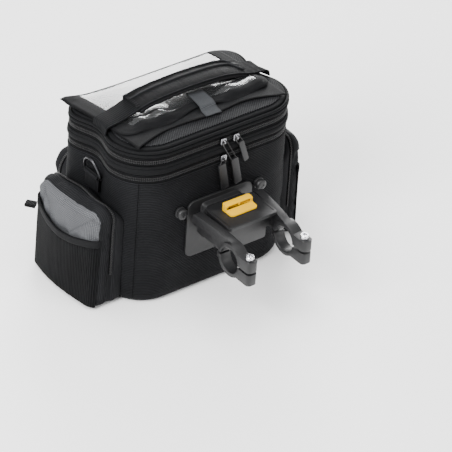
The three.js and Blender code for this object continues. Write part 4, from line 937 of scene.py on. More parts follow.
def teeth(name, paths, closed):
    """Rows of zip teeth along paths, as one mesh."""
    shape = tooth(2.5 * MM, 1.5 * MM, 1.4 * MM)
    if "Teeth on a line" not in bpy.data.node_groups:
        teeth_tree()
    tree = bpy.data.node_groups["Teeth on a line"]
    vertices, edges = [], []
    for path in paths:
        start = len(vertices)
        vertices += [tuple(p) for p in path]
        edges += [(start + i, start + i + 1) for i in range(len(path) - 1)]
        if closed:
            edges.append((start + len(path) - 1, start))
    mesh = bpy.data.meshes.new(name)
    mesh.from_pydata(vertices, edges, [])
    obj = add_object(name, mesh)
    modifier = obj.modifiers.new("Teeth", "NODES")
    modifier.node_group = tree
    pitch = bpy.context.scene.cloth_settings.tooth_pitch
    values = {"Tooth": shape, "Pitch": pitch, "Finish": FINISHES["teeth"]}
    for item in tree.interface.items_tree:
        if item.in_out == "INPUT" and item.name in values:
            modifier[item.identifier] = values[item.name]
    applied(obj)
    bpy.data.objects.remove(shape)
    smooth(obj.data)
    return obj


class BAG_OT_zip_teeth(bpy.types.Operator):
    """Sets the teeth of the two long zips on their tapes."""

    bl_idname = "bag.zip_teeth"
    bl_label = "Zip teeth"

    def execute(self, context):
        s = sizes()
        count = 2 * (sum(CORNERS.values()) + FLANK_STEPS + FACE_STEPS)
        three = [i % count for i in range(FRONT_END, FRONT_START + count + 1)]
        stand, apart = 1.35 * MM, 1.35 * MM
        for name, low, high, span in (
            ("lower_zip_teeth", s.body_height, s.lower_zip_top, None),
            ("upper_zip_teeth", s.band_top, s.upper_zip_top, three),
        ):
            middle = (low + high) / 2
            rings = [ring_at(stand, level) for level in (middle - apart, middle + apart)]
            paths = rings if span is None else [ring[span] for ring in rings]
            place(teeth(name, paths, span is None), "teeth", "zip_cloth")
        return {"FINISHED"}


# Lid, piping and netting


class BAG_OT_lid(bpy.types.Operator):
    """Builds the lid with its piping and the net panel on it."""

    bl_idname = "bag.lid"
    bl_label = "Lid"

    def execute(self, context):
        s = sizes()
        seat = 4.3 * MM
        insets = [66, 56, 46, 36, 27, 19, 13, 9, 6.5]
        top = [on_surface(outline(inset * MM), lid_surface) for inset in insets]
        edge = [
            (5.2, s.gusset_top + 0.0019), (4.5, s.gusset_top + 0.0012), (4.3, s.gusset_top - 0.001),
            (4.3, s.gusset_top - seat), (1.6, s.gusset_top - seat - 0.0001), (0.2, s.gusset_top - seat - 0.0006),
            (-0.5, s.gusset_top - seat - 0.0018), (-0.4, s.upper_zip_top + 0.0022),
            (0.4, s.upper_zip_top + 0.0009), (1.3, s.upper_zip_top + 0.0003), (2.4, s.upper_zip_top + 0.0006),
            (4.8, s.gusset_top - seat - 0.002), (6.3, s.gusset_top - 0.002),
        ]
        rows = [ring_at(inset * MM, level) for inset, level in edge]
        under = [on_surface(outline(inset * MM), lid_surface, -0.003) for inset in (10, 30, 60)]
        lid = skin("lid_cloth", [*top, *rows, *under], ends=(True, True))
        place(lid, "smooth", "smooth_cloth", stands_for="lid")
        radius, inset, drop, sides = 2 * MM, 1.7 * MM, 1.85 * MM, 12
        turns = [TAU * step / sides for step in range(sides)]
        section = [(inset - radius * math.cos(a), s.gusset_top - drop + radius * math.sin(a)) for a in turns]
        piping = swept("lid_piping_cord", section)
        place(piping, "smooth", "smooth_cloth", stands_for="lid_piping")
        panel = [
            on_surface(outline(inset * MM), lid_surface, 0.0013) for inset in (64, 54, 44, 34, 26, 19, 14, 11, 10)
        ]
        panel += [p + (0, 0, -0.0009) for p in reversed(panel)]
        net = skin("net_panel", panel, ends=(True, True))
        flat_map(net)
        crumple(net, 0.0005, 0.02, 5, lambda p: 1.0 if p.z > 0 else 0.0)
        place(net, "netting", "netting", stands_for="lid_mesh_panel")
        return {"FINISHED"}


def flat_map(obj):
    """Maps a piece from above, in metres."""
    map_by_place(obj, lambda p: (p.x, p.y))


def on_surface(ring, surface, rise=0.0):
    """A row of points laid on a surface, with a rise over it."""
    return np.array([(x, y, surface(x, y) + rise) for x, y in ring])


# Map sleeve


MAP_HALF = 0.108
MAP_FRONT = 0.069
MAP_REAR_CORNER = -0.058
MAP_TOP_REAR = -0.036
MAP_LEFT_REACH = 0.007
MAP_CORNER = 0.018
MAP_WAVE = 0.005
MAP_SIDE_BORDER = 0.018
MAP_END_BORDER = 0.012
MAP_PUCKERS = ((-0.078, 0.009), (-0.049, 0.010), (0.046, 0.011), (0.087, 0.010))


def map_floor(x, y):
    """Underside of the sleeve: it lies on the net and goes down over the lid's front edge."""
    left = min(max(-x / MAP_HALF, 0), 1)
    over = min(max((y - MAP_LEFT_REACH * left**3 - 0.058) / 0.011, 0), 1)
    tip = over * smoothstep(0.8, 1.06, -x / MAP_HALF)
    return lid_surface(x, y) + 0.0025 - 0.002 * over**2 + 0.0045 * tip


def map_swell(x, y):
    """How far the clear sheet stands off the back: puckers at the rider's edge, and a slack lift elsewhere."""
    along = min(max((y - MAP_TOP_REAR) / (MAP_FRONT - MAP_TOP_REAR), 0), 1)
    side = min(max((MAP_HALF - abs(x)) / 0.056, 0), 1)
    across = 0.55 + 0.45 * abs(math.sin(TAU * x / (2 * MAP_HALF)))
    slack = 0.0034 * math.sin(math.pi * along**0.4) * math.sin(math.pi / 2 * side) * across
    lobes = sum(math.exp(-(((x - place) / 0.03) ** 2)) for place in (-0.062, 0.066))
    peaks = sum(math.exp(-(((x - place) / width) ** 2)) for place, width in MAP_PUCKERS)
    edge = math.sin(math.pi * min(along / 0.3, 1))
    return slack + (0.0035 * lobes + 0.0032 * peaks) * edge


def map_top(x, y):
    """Height of the clear sheet."""
    return map_floor(x, y) + 0.0014 + map_swell(x, y)


def map_ring(inset_x, inset_y):
    """Outline of a sleeve layer from above, from its right rear corner round by the front."""
    half = MAP_HALF - inset_x
    low, high = MAP_TOP_REAR + inset_y, MAP_FRONT - inset_y * 0.08
    rear = max(MAP_CORNER - (inset_x + inset_y) / 2, 0.002)
    left, right = 0.003, max(0.012 - inset_x / 2, 0.003)
    corners = [
        (half - rear, low + rear, rear, -90, 8),
        (half - right, high - right, right, 0, 8),
        (-half + left, high - left, left, 90, 8),
        (-half + rear, low + rear, rear, 180, 8),
    ]
    points = []
    for x, y in rounded(corners, (14, 22, 14, 84)):
        near = min(max(1 - (y - low) / 0.02, 0), 1)
        wavy = MAP_WAVE * near * math.cos(TAU * x / MAP_HALF) * math.cos(math.pi * x / (2 * MAP_HALF))
        points.append(map_skew(x, y + wavy))
    return points


def map_skew(x, y):
    """The sleeve's right end is drawn in, and its left end reaches out and forward at the front."""
    along = min(max((y - MAP_REAR_CORNER) / (MAP_FRONT - MAP_REAR_CORNER), 0), 1) ** 3
    right, left = max(x / MAP_HALF, 0) ** 3, max(-x / MAP_HALF, 0) ** 3
    return x - right * (0.006 + 0.005 * along) - left * 0.011 * along, y + left * MAP_LEFT_REACH * along


class BAG_OT_sleeve(bpy.types.Operator):
    """Builds the map sleeve: its back, its cloth border, the clear sheet and the tape tab."""

    bl_idname = "bag.sleeve"
    bl_label = "Map sleeve"

    def execute(self, context):
        self.back()
        self.border()
        self.window()
        self.tab()
        return {"FINISHED"}

    @staticmethod
    def back():
        columns, rows = 64, 44
        grid = []
        for r in range(rows + 1):
            t = r / rows
            row = []
            for c in range(columns + 1):
                share = c / columns
                x = -MAP_HALF + 2 * MAP_HALF * share
                dip = 0.011 * math.sin(math.pi * share) ** 0.6 - 0.0025 * math.cos(4 * math.pi * share)
                rear = MAP_REAR_CORNER + dip
                y = rear + (MAP_FRONT - rear) * t
                curl = 0.0012 * math.sin(3 * math.pi * share + 0.5) * max(1 - t / 0.25, 0)
                across, forward = map_skew(x, y)
                row.append((across, forward, map_floor(across, forward) + abs(curl)))
            grid.append(row)
        back = skin("sleeve_back", grid, close_u=False)
        back = thicken(back, 1.0 * MM)
        flat_map(back)
        place(back, "smooth", "smooth_cloth", stands_for="map_sleeve_back")

    @staticmethod
    def border():
        """The cloth frame round the clear sheet, with a stitched dip along its middle."""
        wall = 1.1 * MM
        insets = [0, 0.15, 0.3, 0.5, 0.7, 0.85, 1.0]
        rings = [map_ring(MAP_SIDE_BORDER * k, MAP_END_BORDER * k) for k in insets]
        lift = [0.2, 0.9, 0.55, 1.0, 1.0, 0.6, 0.9]
        upper = [on_surface(ring, map_top, wall * rise) for ring, rise in zip(rings, lift)]
        lower = [on_surface(ring, map_top, 0.0) for ring in (rings[-1], rings[3], rings[0])]
        border = skin("sleeve_border", [*upper, *lower], close_v=True)
        flat_map(border)
        place(border, "smooth", "smooth_cloth", stands_for="map_sleeve_border")

    @staticmethod
    def window():
        clear_rows = []
        for extra in (41, 38, 33, 28, 23, 18, 13, 8, 3, -3):
            ring = map_ring(MAP_SIDE_BORDER + extra * MM, MAP_END_BORDER + extra * MM)
            clear_rows.append(on_surface(ring, map_top, 0.45 * MM))
        window = skin("clear_sheet", clear_rows, ends=(True, False))
        flat_map(window)
        crumple(window, 0.00008, 0.05, 3)
        place(window, "clear", "clear_sheet", stands_for="map_window")

    @staticmethod
    def tab():
        """The grey tape over the sleeve's rider's edge, through stations of (y, rise in mm)."""
        stations = [
            (-0.004, 1.2), (-0.012, 1.4), (-0.021, 1.3), (-0.029, 1.5),
            (-0.0335, 1.3), (-0.039, 0.5), (-0.044, 0.3), (-0.050, 0.3),
        ]
        rows = []
        for i in range(len(stations) * 4 - 3):
            place_on = i / 4
            low = int(place_on)
            high = min(low + 1, len(stations) - 1)
            share = place_on - low
            y = stations[low][0] * (1 - share) + stations[high][0] * share
            rise = stations[low][1] * (1 - share) + stations[high][1] * share
            slant = (y + 0.004) / 0.046 * 0.006
            row = []
            for k in range(9):
                x = slant + 0.021 * k / 8
                on_top = smoothstep(-0.041, -0.034, y)
                above, below = map_top(0.010, max(y, MAP_TOP_REAR)) + 1.1 * MM, map_floor(0.010, y) + 1.4 * MM
                row.append((x, y - 0.0002 * k, above * on_top + below * (1 - on_top) + rise * MM))
            rows.append(row)
        obj = skin("tape_tab", rows, close_u=False)
        obj = thicken(obj, 1.2 * MM)
        flat_map(obj)
        place(obj, "tape", "grey_tape", stands_for="map_tab")


# Carrying handle


HANDLE_Y = 0.005
STRAP_FOOT_X = 0.1123
HANDLE_RISE = 0.024
GRIP_SPAN = (-0.0700, 0.0835)
HANDLE_TABLE = [
    (0, 1), (0.16, 0.985), (0.32, 0.955), (0.48, 0.885), (0.625, 0.735), (0.75, 0.55),
    (0.857, 0.42), (0.946, 0.36), (0.987, 0.3), (1, 0),
]


def handle_line(count):
    """Middle line of the handle from the left foot to the right one, smoothed through its table."""
    foot = sizes().gusset_top - float(droop(np.array(HANDLE_Y))) + 0.0012
    side = [(across * STRAP_FOOT_X, foot + rise * HANDLE_RISE) for across, rise in HANDLE_TABLE]
    known = [(-x, z) for x, z in reversed(side[1:])] + side
    steps = lengths(np.array(known), False)
    wanted = np.linspace(0, steps[-1], count)
    xs, zs = np.array([p[0] for p in known]), np.array([p[1] for p in known])
    line = np.column_stack([np.interp(wanted, steps, xs), np.interp(wanted, steps, zs)])
    for _ in range(3):
        line[1:-1] = (line[:-2] + 2 * line[1:-1] + line[2:]) / 4
    return line


def along_handle(line, section, low, high):
    """Sections square to the handle's line between two places across it.

    A section is a row of (across, through) in metres, or a function of the place that gives one.
    """
    rows = []
    for i, (x, z) in enumerate(line):
        if not low <= x <= high:
            continue
        before, after = line[max(i - 1, 0)], line[min(i + 1, len(line) - 1)]
        tangent = (after - before) / np.linalg.norm(after - before)
        side = smoothstep(0.8, 0.98, abs(x) / STRAP_FOOT_X)
        row = []
        for across, through in section(x) if callable(section) else section:
            y = HANDLE_Y + across
            follow = math.copysign(side * (flank(y) - flank(HANDLE_Y)), x)
            fall = float(droop(np.array(y)) - droop(np.array(HANDLE_Y)))
            row.append((x + follow - tangent[1] * through, y, z + tangent[0] * through - fall))
        rows.append(row)
    return rows


def grip_section(x):
    """Padded sleeve with a welt along each upper edge and a softly rounded rider's side."""
    taper = 1.0 - 0.12 * smoothstep(0.05, 0.07, abs(x))
    fine = [
        (-17.0, -2.8), (-16.4, -3.8), (-15.0, -4.4), (-10, -4.6), (0, -4.6), (10, -4.5), (15.0, -4.1),
        (16.6, -2.8), (17.0, -0.5), (16.8, 1.8), (16.0, 3.4), (15.0, 4.5), (13.9, 4.6), (13.0, 3.7), (11, 3.6),
        (8, 3.8), (6.6, 4.0), (5.4, 4.6), (4.3, 4.6), (3.2, 4.1), (2, 3.8), (-3, 3.3), (-8, 2.2), (-12, 0.8),
        (-15.0, -0.8), (-16.5, -1.9),
    ]
    return [(a * MM, t * taper * MM) for a, t in fine]


class BAG_OT_handle(bpy.types.Operator):
    """Builds the webbing strap, the padded grip on it and the binding at the grip's left end."""

    bl_idname = "bag.handle"
    bl_label = "Handle"

    def execute(self, context):
        line = handle_line(220)
        half, wall = 15 * MM, 0.8 * MM
        lower = [(-half, -wall * 0.5), (-half * 0.97, -wall), (0, -wall), (half * 0.97, -wall), (half, -wall * 0.5)]
        strap_section = [*lower, *((across, -through) for across, through in reversed(lower))]
        strap = skin("handle_webbing", along_handle(line, strap_section, -1, 1), ends=(True, True))
        strap_map(strap)
        place(strap, "webbing", "webbing", stands_for="handle_strap")
        grip = skin("grip_pad", along_handle(line, grip_section, *GRIP_SPAN), ends=(True, True))
        strap_map(grip)

        def held(p):
            return 1.0 if p.x < -0.062 or p.x > 0.076 or abs(p.y - HANDLE_Y) > 0.0155 else 0.35

        settle(grip, held, context.scene.cloth_settings.pressure, 0.01, 0.6 * MM)
        crumple(grip, 0.0004, 0.016, 8)
        place(grip, "neoprene", "smooth_cloth", stands_for="handle_grip")

        low, high = GRIP_SPAN[0] + 0.5 * MM, GRIP_SPAN[1] - 0.5 * MM
        for name, across, through in (("front", 14.4, 4.3), ("middle", 4.8, 4.7)):
            rows = along_handle(line, self.welt(across, through), low, high)
            welt = skin(f"grip_welt_{name}", rows, ends=(True, True))
            strap_map(welt)
            place(welt, "welt", "webbing")
        bound = [(across * 1.05, through * 1.12 + 0.0001) for across, through in grip_section(0.0)]
        ring = skin("grip_end", along_handle(line, bound, -0.0712, -0.0655), ends=(True, True))
        strap_map(ring)
        place(ring, "webbing", "webbing", stands_for="grip_binding")
        return {"FINISHED"}

    @staticmethod
    def welt(across, through, radius=1.15):
        """Round section of a welt. It runs down towards the rider at the grip's right end."""

        def section(x):
            bend = smoothstep(0.066, 0.083, x)
            middle = (across - 12 * bend, through - 1.6 * bend)
            row = []
            for k in range(10):
                angle = TAU * k / 10
                row.append((
                    (middle[0] + radius * math.cos(angle)) * MM,
                    (middle[1] + radius * math.sin(angle)) * MM,
                ))
            return row

        return section


def strap_map(obj):
    """Maps a piece that runs along X: V along it and U across it."""
    map_by_place(obj, lambda p: (p.y, p.x + 0.4 * p.z * math.copysign(1, p.x)))


# Side pockets


RIGHT_POCKET = 0.75
POCKET = {
    "rear": -0.049, "front": 0.070, "low": 0.001, "high": 0.135, "top_front": 0.026, "top_rear": 0.016,
    "foot": 0.010, "x": 0.148, "flare": 0.004, "bulge": 0.007, "zip": 0.42,
    "root_fall": 0.013, "face_fall": 0.003, "front_fall": 0.009,
}


def pocket_ring(inset):
    """A side pocket's outline in Y and Z, from the front foot round over the top to the rear foot."""
    p = POCKET
    low, high, rear, front = p["low"] + inset, p["high"] - inset, p["rear"] + inset, p["front"] - inset
    foot = max(p["foot"] - inset, 0.002)
    top_front, top_rear = max(p["top_front"] - inset, 0.002), max(p["top_rear"] - inset, 0.002)
    corners = [
        (front - foot, low + foot, foot, -90, 9),
        (front - top_front, high - top_front, top_front, 0, 9),
        (rear + top_rear, high - top_rear, top_rear, 90, 9),
        (rear + foot, low + foot, foot, 180, 9),
    ]
    return rounded(corners, (16, 16, 16, 16))


def pocket_along(y):
    """Share of the way from a side pocket's rear to its front."""
    p = POCKET
    return min(max((y - p["rear"]) / (p["front"] - p["rear"]), 0), 1)


def pocket_face(y, z):
    """Where a full side pocket's face stands, across the bag."""
    p = POCKET
    up = min(max(z / p["high"], 0), 1)
    return p["x"] + p["flare"] * (1 - up) + p["bulge"] * math.sin(math.pi * pocket_along(y))


def pocket_fall(reach, y, z):
    """How far the pocket's top comes down towards the body, towards its face and towards the front."""
    p = POCKET
    inner = max(1 - reach / p["zip"], 0)
    outer = max((reach - p["zip"]) / (1 - p["zip"]), 0)
    fall = p["root_fall"] * inner + p["face_fall"] * outer + p["front_fall"] * pocket_along(y)
    return fall * (z / p["high"]) ** 2


def pocket_row(reach, inset):
    """A side pocket's outline at a reach from 0 on the body to 1 on its face."""
    row = []
    for y, z in pocket_ring(inset):
        root = flank(y) + 0.001
        row.append((root + (pocket_face(y, z) - root) * reach, y, z - pocket_fall(reach, y, z)))
    return row


POCKET_ROWS = [
    (0.0, 0.0), (0.08, -0.3), (0.18, -0.6), (0.27, -0.3), (0.32, 0.4), (0.345, 1.2), (0.38, 1.0),
    (0.42, 0.9), (0.46, 1.0), (0.495, 1.2), (0.52, 0.4), (0.60, -0.2), (0.70, -0.1), (0.78, 0.4),
    (0.85, 1.3), (0.885, 2.2), (0.90, 3.2), (0.925, 3.4), (0.95, 4.4), (0.975, 6.4), (0.99, 9),
    (1.0, 12), (1.0, 16), (1.0, 21), (1.0, 27), (1.0, 34), (1.0, 42), (1.0, 50),
]


class BAG_OT_pockets(bpy.types.Operator):
    """Builds both side pockets with their zips, rib knit pockets, bindings and tape loops."""

    bl_idname = "bag.pockets"
    bl_label = "Side pockets"

    def execute(self, context):
        settings = context.scene.cloth_settings
        rows = [pocket_row(reach, inset * MM) for reach, inset in POCKET_ROWS]
        shell = skin("side_pocket_cloth_right", rows, ends=(False, True))

        def held(p):
            reach = (p.x - flank(p.y) - 0.001) / (pocket_face(p.y, p.z) - flank(p.y) - 0.001)
            if reach < 0.56:
                return 1.0
            seam = max(0.0, 1 - abs(reach - 0.895) / 0.03) * 0.75
            low = smoothstep(0.095, 0.07, p.z) * 0.8
            return max(seam, low, 0.03)

        settle(shell, held, settings.pressure, 0.05, 3.0 * MM)

        def free(p):
            return smoothstep(0.125, 0.139, p.x) * (0.35 + 0.65 * smoothstep(0.07, 0.10, p.z))

        crumple(shell, settings.fold_depth * 1.8, 0.03, settings.seed + 2, free, (1.0, 1.7, 0.8))
        self.crease(shell)
        other = mirror_copy(shell, "side_pocket_cloth_left")
        emptier(shell)
        columns = len(rows[0])
        first_face = columns * next(i for i, (reach, _) in enumerate(POCKET_ROWS) if reach >= 0.9)
        for obj, side in ((shell, "right"), (other, "left")):
            place(obj, "pocket", "ribbed_cloth", stands_for=f"side_pocket_{side}")
            # The face polygons take the lighter cloth: painted light on the pocket's face.
            obj.data.materials.append(FINISHES["face"])
            kinds = [int(i >= first_face) for i in range(len(obj.data.polygons))]
            obj.data.polygons.foreach_set("material_index", kinds)
        self.zips()
        self.knit()
        return {"FINISHED"}

    @staticmethod
    def crease(obj):
        """Presses a soft fold into a pocket's face under its top seam."""
        for vertex in obj.data.vertices:
            p = vertex.co
            if p.x < 0.138:
                continue
            along = pocket_along(p.y)
            drop = POCKET["high"] - POCKET["front_fall"] * along - p.z
            line = 0.016 + 0.012 * along
            press = math.exp(-(((drop - line) / 0.0042) ** 2)) * math.sin(math.pi * along) ** 0.5
            p.x -= 0.0024 * press
        obj.data.update()

    @staticmethod
    def zips():
        count = len(pocket_ring(0.0))
        span = range(round(count * 0.155), round(count * 0.70) + 1)
        section = [(0.36, 0.9), (0.38, -0.1), (0.42, -0.1), (0.46, -0.1), (0.48, 0.9), (0.42, 0.9)]
        rings = [pocket_row(reach, inset * MM) for reach, inset in section]
        grid = [[ring[i] for ring in rings] for i in span]
        tape = skin("pocket_zip_tape_right", grid, ends=(True, True))
        tape_left = mirror_copy(tape, "pocket_zip_tape_left")
        rails = [[pocket_row(reach, -0.3 * MM)[i] for i in span] for reach in (0.405, 0.435)]
        row = teeth("pocket_zip_teeth_right", rails, False)
        row_left = mirror_copy(row, "pocket_zip_teeth_left")
        emptier(tape)
        emptier(row)
        for obj, other, side in ((tape, row, "right"), (tape_left, row_left, "left")):
            place(obj, "zip", "zip_cloth", stands_for=f"pocket_zip_{side}")
            place(other, "teeth", "zip_cloth")

    @staticmethod
    def knit():
        edge = [(0.88, 2), (0.93, 3.4), (0.965, 5), (0.99, 7.5), (1.0, 11), (1.0, 18), (1.0, 27), (1.0, 38)]
        rear = [(reach, POCKET["rear"] + inset * MM) for reach, inset in edge]
        front = [(reach, POCKET["front"] - inset * MM) for reach, inset in reversed(edge)]
        plan = [*rear, (1.0, (POCKET["rear"] + POCKET["front"]) / 2), *front]
        columns = 61

        def path(stand, z):
            """The line round the pocket's face at a height, standing off it."""
            line = []
            for reach, y in plan:
                root = flank(y) + 0.001
                line.append((root + (pocket_face(y, z) - root) * reach, y))
            line = np.array(line)
            steps = lengths(line, False)
            wanted = np.linspace(0, steps[-1], columns)
            line = np.column_stack([np.interp(wanted, steps, line[:, 0]), np.interp(wanted, steps, line[:, 1])])
            normal = np.gradient(line, axis=0)
            normal /= np.linalg.norm(normal, axis=1)[:, None]
            return line + np.column_stack([normal[:, 1], -normal[:, 0]]) * np.asarray(stand)[:, None]

        shares = np.linspace(0, 1, columns)
        tops = (96 - 11 * np.sin(math.pi * shares) ** 1.2) * MM
        bottoms = np.full(columns, 0.0045)

        def layer(low, high, wall, rows):
            outer, inner = [], []
            for r in range(rows + 1):
                z = low + (high - low) * r / rows
                stand = 0.0003 + 0.005 * np.sin(math.pi * shares) * (0.15 + 0.85 * (z / tops) ** 2)
                for side, off in ((outer, stand + wall), (inner, stand)):
                    places = np.array([path(off, float(level))[i] for i, level in enumerate(z)])
                    side.append(np.column_stack([places, z]))
            return [*outer, *reversed(inner)]

        knit = skin("knit_pocket_right", layer(bottoms, tops - 0.0094, 0.0016, 14), close_u=False, close_v=True)
        closed_ends(knit)
        crumple(knit, 0.0005, 0.04, 17, lambda p: smoothstep(0.135, 0.145, p.x), (1.0, 1.6, 0.6))
        binding = skin("knit_binding_right", layer(tops - 0.009, tops, 0.0024, 4), close_u=False, close_v=True)
        closed_ends(binding)
        for obj, finish, slot_name, node in (
            (knit, "elastic", "elastic", "elastic_pocket"),
            (binding, "smooth", "webbing", "elastic_binding"),
        ):
            other = mirror_copy(obj, obj.name.replace("right", "left"))
            emptier(obj)
            place(obj, finish, slot_name, stands_for=f"{node}_right")
            place(other, finish, slot_name, stands_for=f"{node}_left")
        for side in ("right", "left"):
            loop = from_node(f"pocket_loop_{side}", f"tape_loop_{side}", 0.25 * MM, 2)
            place(loop, "webbing", "webbing", stands_for=f"pocket_loop_{side}")


def emptier(obj):
    """Draws a piece of the right pocket in: that pocket is emptier than the left one."""
    for vertex in obj.data.vertices:
        root = flank(vertex.co.y) + 0.001
        vertex.co.x = root + (vertex.co.x - root) * RIGHT_POCKET
    obj.data.update()


def closed_ends(obj):
    """Closes the open ends of a swept piece and turns it outwards."""
    work = bmesh.new()
    work.from_mesh(obj.data)
    edges = [e for e in work.edges if e.is_boundary]
    bmesh.ops.holes_fill(work, edges=edges, sides=0)
    bmesh.ops.recalc_face_normals(work, faces=work.faces)
    work.to_mesh(obj.data)
    work.free()


# Front pocket


FRONT = {"width": 0.208, "high": 0.119, "low": 0.004, "depth": 0.030, "bulge": 0.006, "top": 0.024, "foot": 0.010}
FRONT_ROWS = [
    (0.0, 0.0), (0.15, -0.2), (0.3, -0.3), (0.42, 0.0), (0.47, 1.0), (0.51, 0.8), (0.55, 0.7),
    (0.59, 0.8), (0.63, 1.0), (0.68, 0.2), (0.78, 0.6), (0.86, 1.6), (0.92, 3.0), (0.96, 5.0),
    (0.985, 8), (1.0, 12), (1.0, 18), (1.0, 26), (1.0, 36), (1.0, 46), (1.0, 55),
]


def front_ring(inset):
    """The front pocket's outline in X and Z, from its right foot round over the top to its left foot."""
    f = FRONT
    low, half, high = f["low"] + inset, f["width"] / 2 - inset, f["high"] - inset
    top, foot = max(f["top"] - inset, 0.002), max(f["foot"] - inset, 0.002)
    corners = [
        (half - foot, low + foot, foot, -90, 9),
        (half - top, high - top, top, 0, 9),
        (-half + top, high - top, top, 90, 9),
        (-half + foot, low + foot, foot, 180, 9),
    ]
    return rounded(corners, (14, 26, 14, 26))


def front_row(reach, inset):
    """The front pocket's outline at a reach from 0 on the body to 1 on its face."""
    f = FRONT
    row = []
    for x, z in front_ring(inset):
        across = min(max(x / f["width"] + 0.5, 0), 1)
        swell = f["bulge"] * math.sin(math.pi * across)
        root = front_face(x) + 0.0003
        face = sizes().depth / 2 + f["depth"] + swell
        row.append((x, root + (face - root) * reach, z))
    return row


class BAG_OT_front(bpy.types.Operator):
    """Builds the front pocket and its zip."""

    bl_idname = "bag.front"
    bl_label = "Front pocket"

    def execute(self, context):
        settings = context.scene.cloth_settings
        shell = skin("front_pocket_cloth", [front_row(r, i * MM) for r, i in FRONT_ROWS], ends=(False, True))

        def held(p):
            return 1.0 if p.y < 0.098 or p.z < 0.012 else 0.05

        settle(shell, held, settings.pressure, 0.04, 2.5 * MM)
        crumple(shell, settings.fold_depth, 0.035, settings.seed + 5, lambda p: smoothstep(0.09, 0.10, p.y))
        place(shell, "pocket", "ribbed_cloth", stands_for="front_pocket")
        count = len(front_ring(0.0))
        span = range(10, round(count * 0.66))
        rings = [front_row(reach, inset * MM) for reach, inset in ((0.48, 0.7), (0.5, -0.3), (0.6, -0.3), (0.62, 0.7))]
        tape = skin("front_zip_tape", [[ring[i] for ring in rings] for i in span], ends=(True, True))
        place(tape, "zip", "zip_cloth", stands_for="front_zip")
        rails = [[front_row(reach, -0.5 * MM)[i] for i in span] for reach in (0.53, 0.57)]
        place(teeth("front_zip_teeth", rails, False), "teeth", "zip_cloth")
        return {"FINISHED"}


# Rings, sliders and moulded parts


def lathe(name, profile, centre, axis, sides=40):
    """A turned piece: the profile is (along, radius) in millimetres, from its foot."""
    direction = Vector(axis).normalized()
    side = direction.orthogonal().normalized()
    up = direction.cross(side)
    grid = []
    for along, radius in profile:
        row = []
        for k in range(sides):
            angle = TAU * k / sides
            out = (side * math.cos(angle) + up * math.sin(angle)) * (radius * MM)
            p = Vector(centre) + direction * (along * MM) + out
            row.append(tuple(p))
        grid.append(row)
    obj = skin(name, grid, ends=(True, True))
    obj.data.set_sharp_from_angle(angle=math.radians(38))
    return obj


class BAG_OT_rings(bpy.types.Operator):
    """Builds the D rings and the webbing tabs that hold them."""

    bl_idname = "bag.rings"
    bl_label = "D rings"

    def execute(self, context):
        half, tall, wire, lean = 14.4 * MM, 22 * MM, 1.6 * MM, math.radians(-12)
        seat = Vector((118.6 * MM, 8 * MM, 146 * MM))
        turns = [math.pi * i / 48 for i in range(49)]
        middle = [Vector((0, half * math.cos(a), tall * math.sin(a) ** 0.85)) for a in turns]
        middle += [Vector((0, -half + 2 * half * i / 12, 0)) for i in range(1, 12)]
        rows = []
        for i, point in enumerate(middle):
            along = (middle[(i + 1) % len(middle)] - middle[i - 1]).normalized()
            out = along.cross(Vector((1, 0, 0)))
            row = []
            for k in range(14):
                angle = TAU * k / 14
                p = point + out * wire * math.cos(angle) + Vector((wire * math.sin(angle), 0, 0))
                across = p.x * math.cos(lean) - p.z * math.sin(lean)
                up = p.x * math.sin(lean) + p.z * math.cos(lean)
                row.append((across + seat.x, p.y + seat.y, up + seat.z))
            rows.append(row)
        ring = skin("ring_right", rows, close_v=True)
        other = mirror_copy(ring, "ring_left")
        place(ring, "ring", "ring_metal", "ring_right", "d_ring_right")
        place(other, "ring", "ring_metal", "ring_left", "d_ring_left")
        for side in ("right", "left"):
            tab = from_node(f"ring_tab_{side}", f"ring_webbing_{side}", 0.3 * MM, 2)
            place(tab, "webbing", "webbing", stands_for=f"ring_tab_{side}")
        return {"FINISHED"}


class BAG_OT_sliders(bpy.types.Operator):
    """Builds the zip sliders and their pulls."""

    bl_idname = "bag.sliders"
    bl_label = "Sliders and pulls"

    def execute(self, context):
        for name in ("upper_left", "upper_right", "lower"):
            slider = from_node(f"slider_{name}", f"zip_slider_{name}", 0.7 * MM, 4)
            place(slider, "slider", "slider_metal", stands_for=f"slider_{name}")
            pull = from_node(f"pull_{name}", f"zip_pull_{name}", 0.5 * MM, 3)
            place(pull, "pull", "pull_rubber", stands_for=f"pull_{name}")
        return {"FINISHED"}


class BAG_OT_adapter(bpy.types.Operator):
    """Builds the adapter on the rider's face and its two bosses."""

    bl_idname = "bag.adapter"
    bl_label = "Adapter"

    def execute(self, context):
        plate = from_node("adapter", "adapter_plate", 0.8 * MM, 3)
        place(plate, "plastic", "black_plastic", stands_for="adapter")
        profile = [
            (0, 6.6), (0.5, 7), (2.4, 7), (2.9, 6.6), (3.1, 5.5), (4.4, 5.5), (4.7, 6.2),
            (5.1, 6.6), (7.4, 6.6), (8.3, 6.0), (8.9, 4.6), (9.0, 2.5), (8.4, 2.2), (8.4, 0.6),
        ]
        for side, name in ((1, "right"), (-1, "left")):
            boss = lathe(f"boss_{name}", profile, (side * 56 * MM, -75.3 * MM, 119 * MM), (0, -1, 0))
            place(boss, "plastic", "black_plastic", stands_for=f"adapter_boss_{name}")
        return {"FINISHED"}


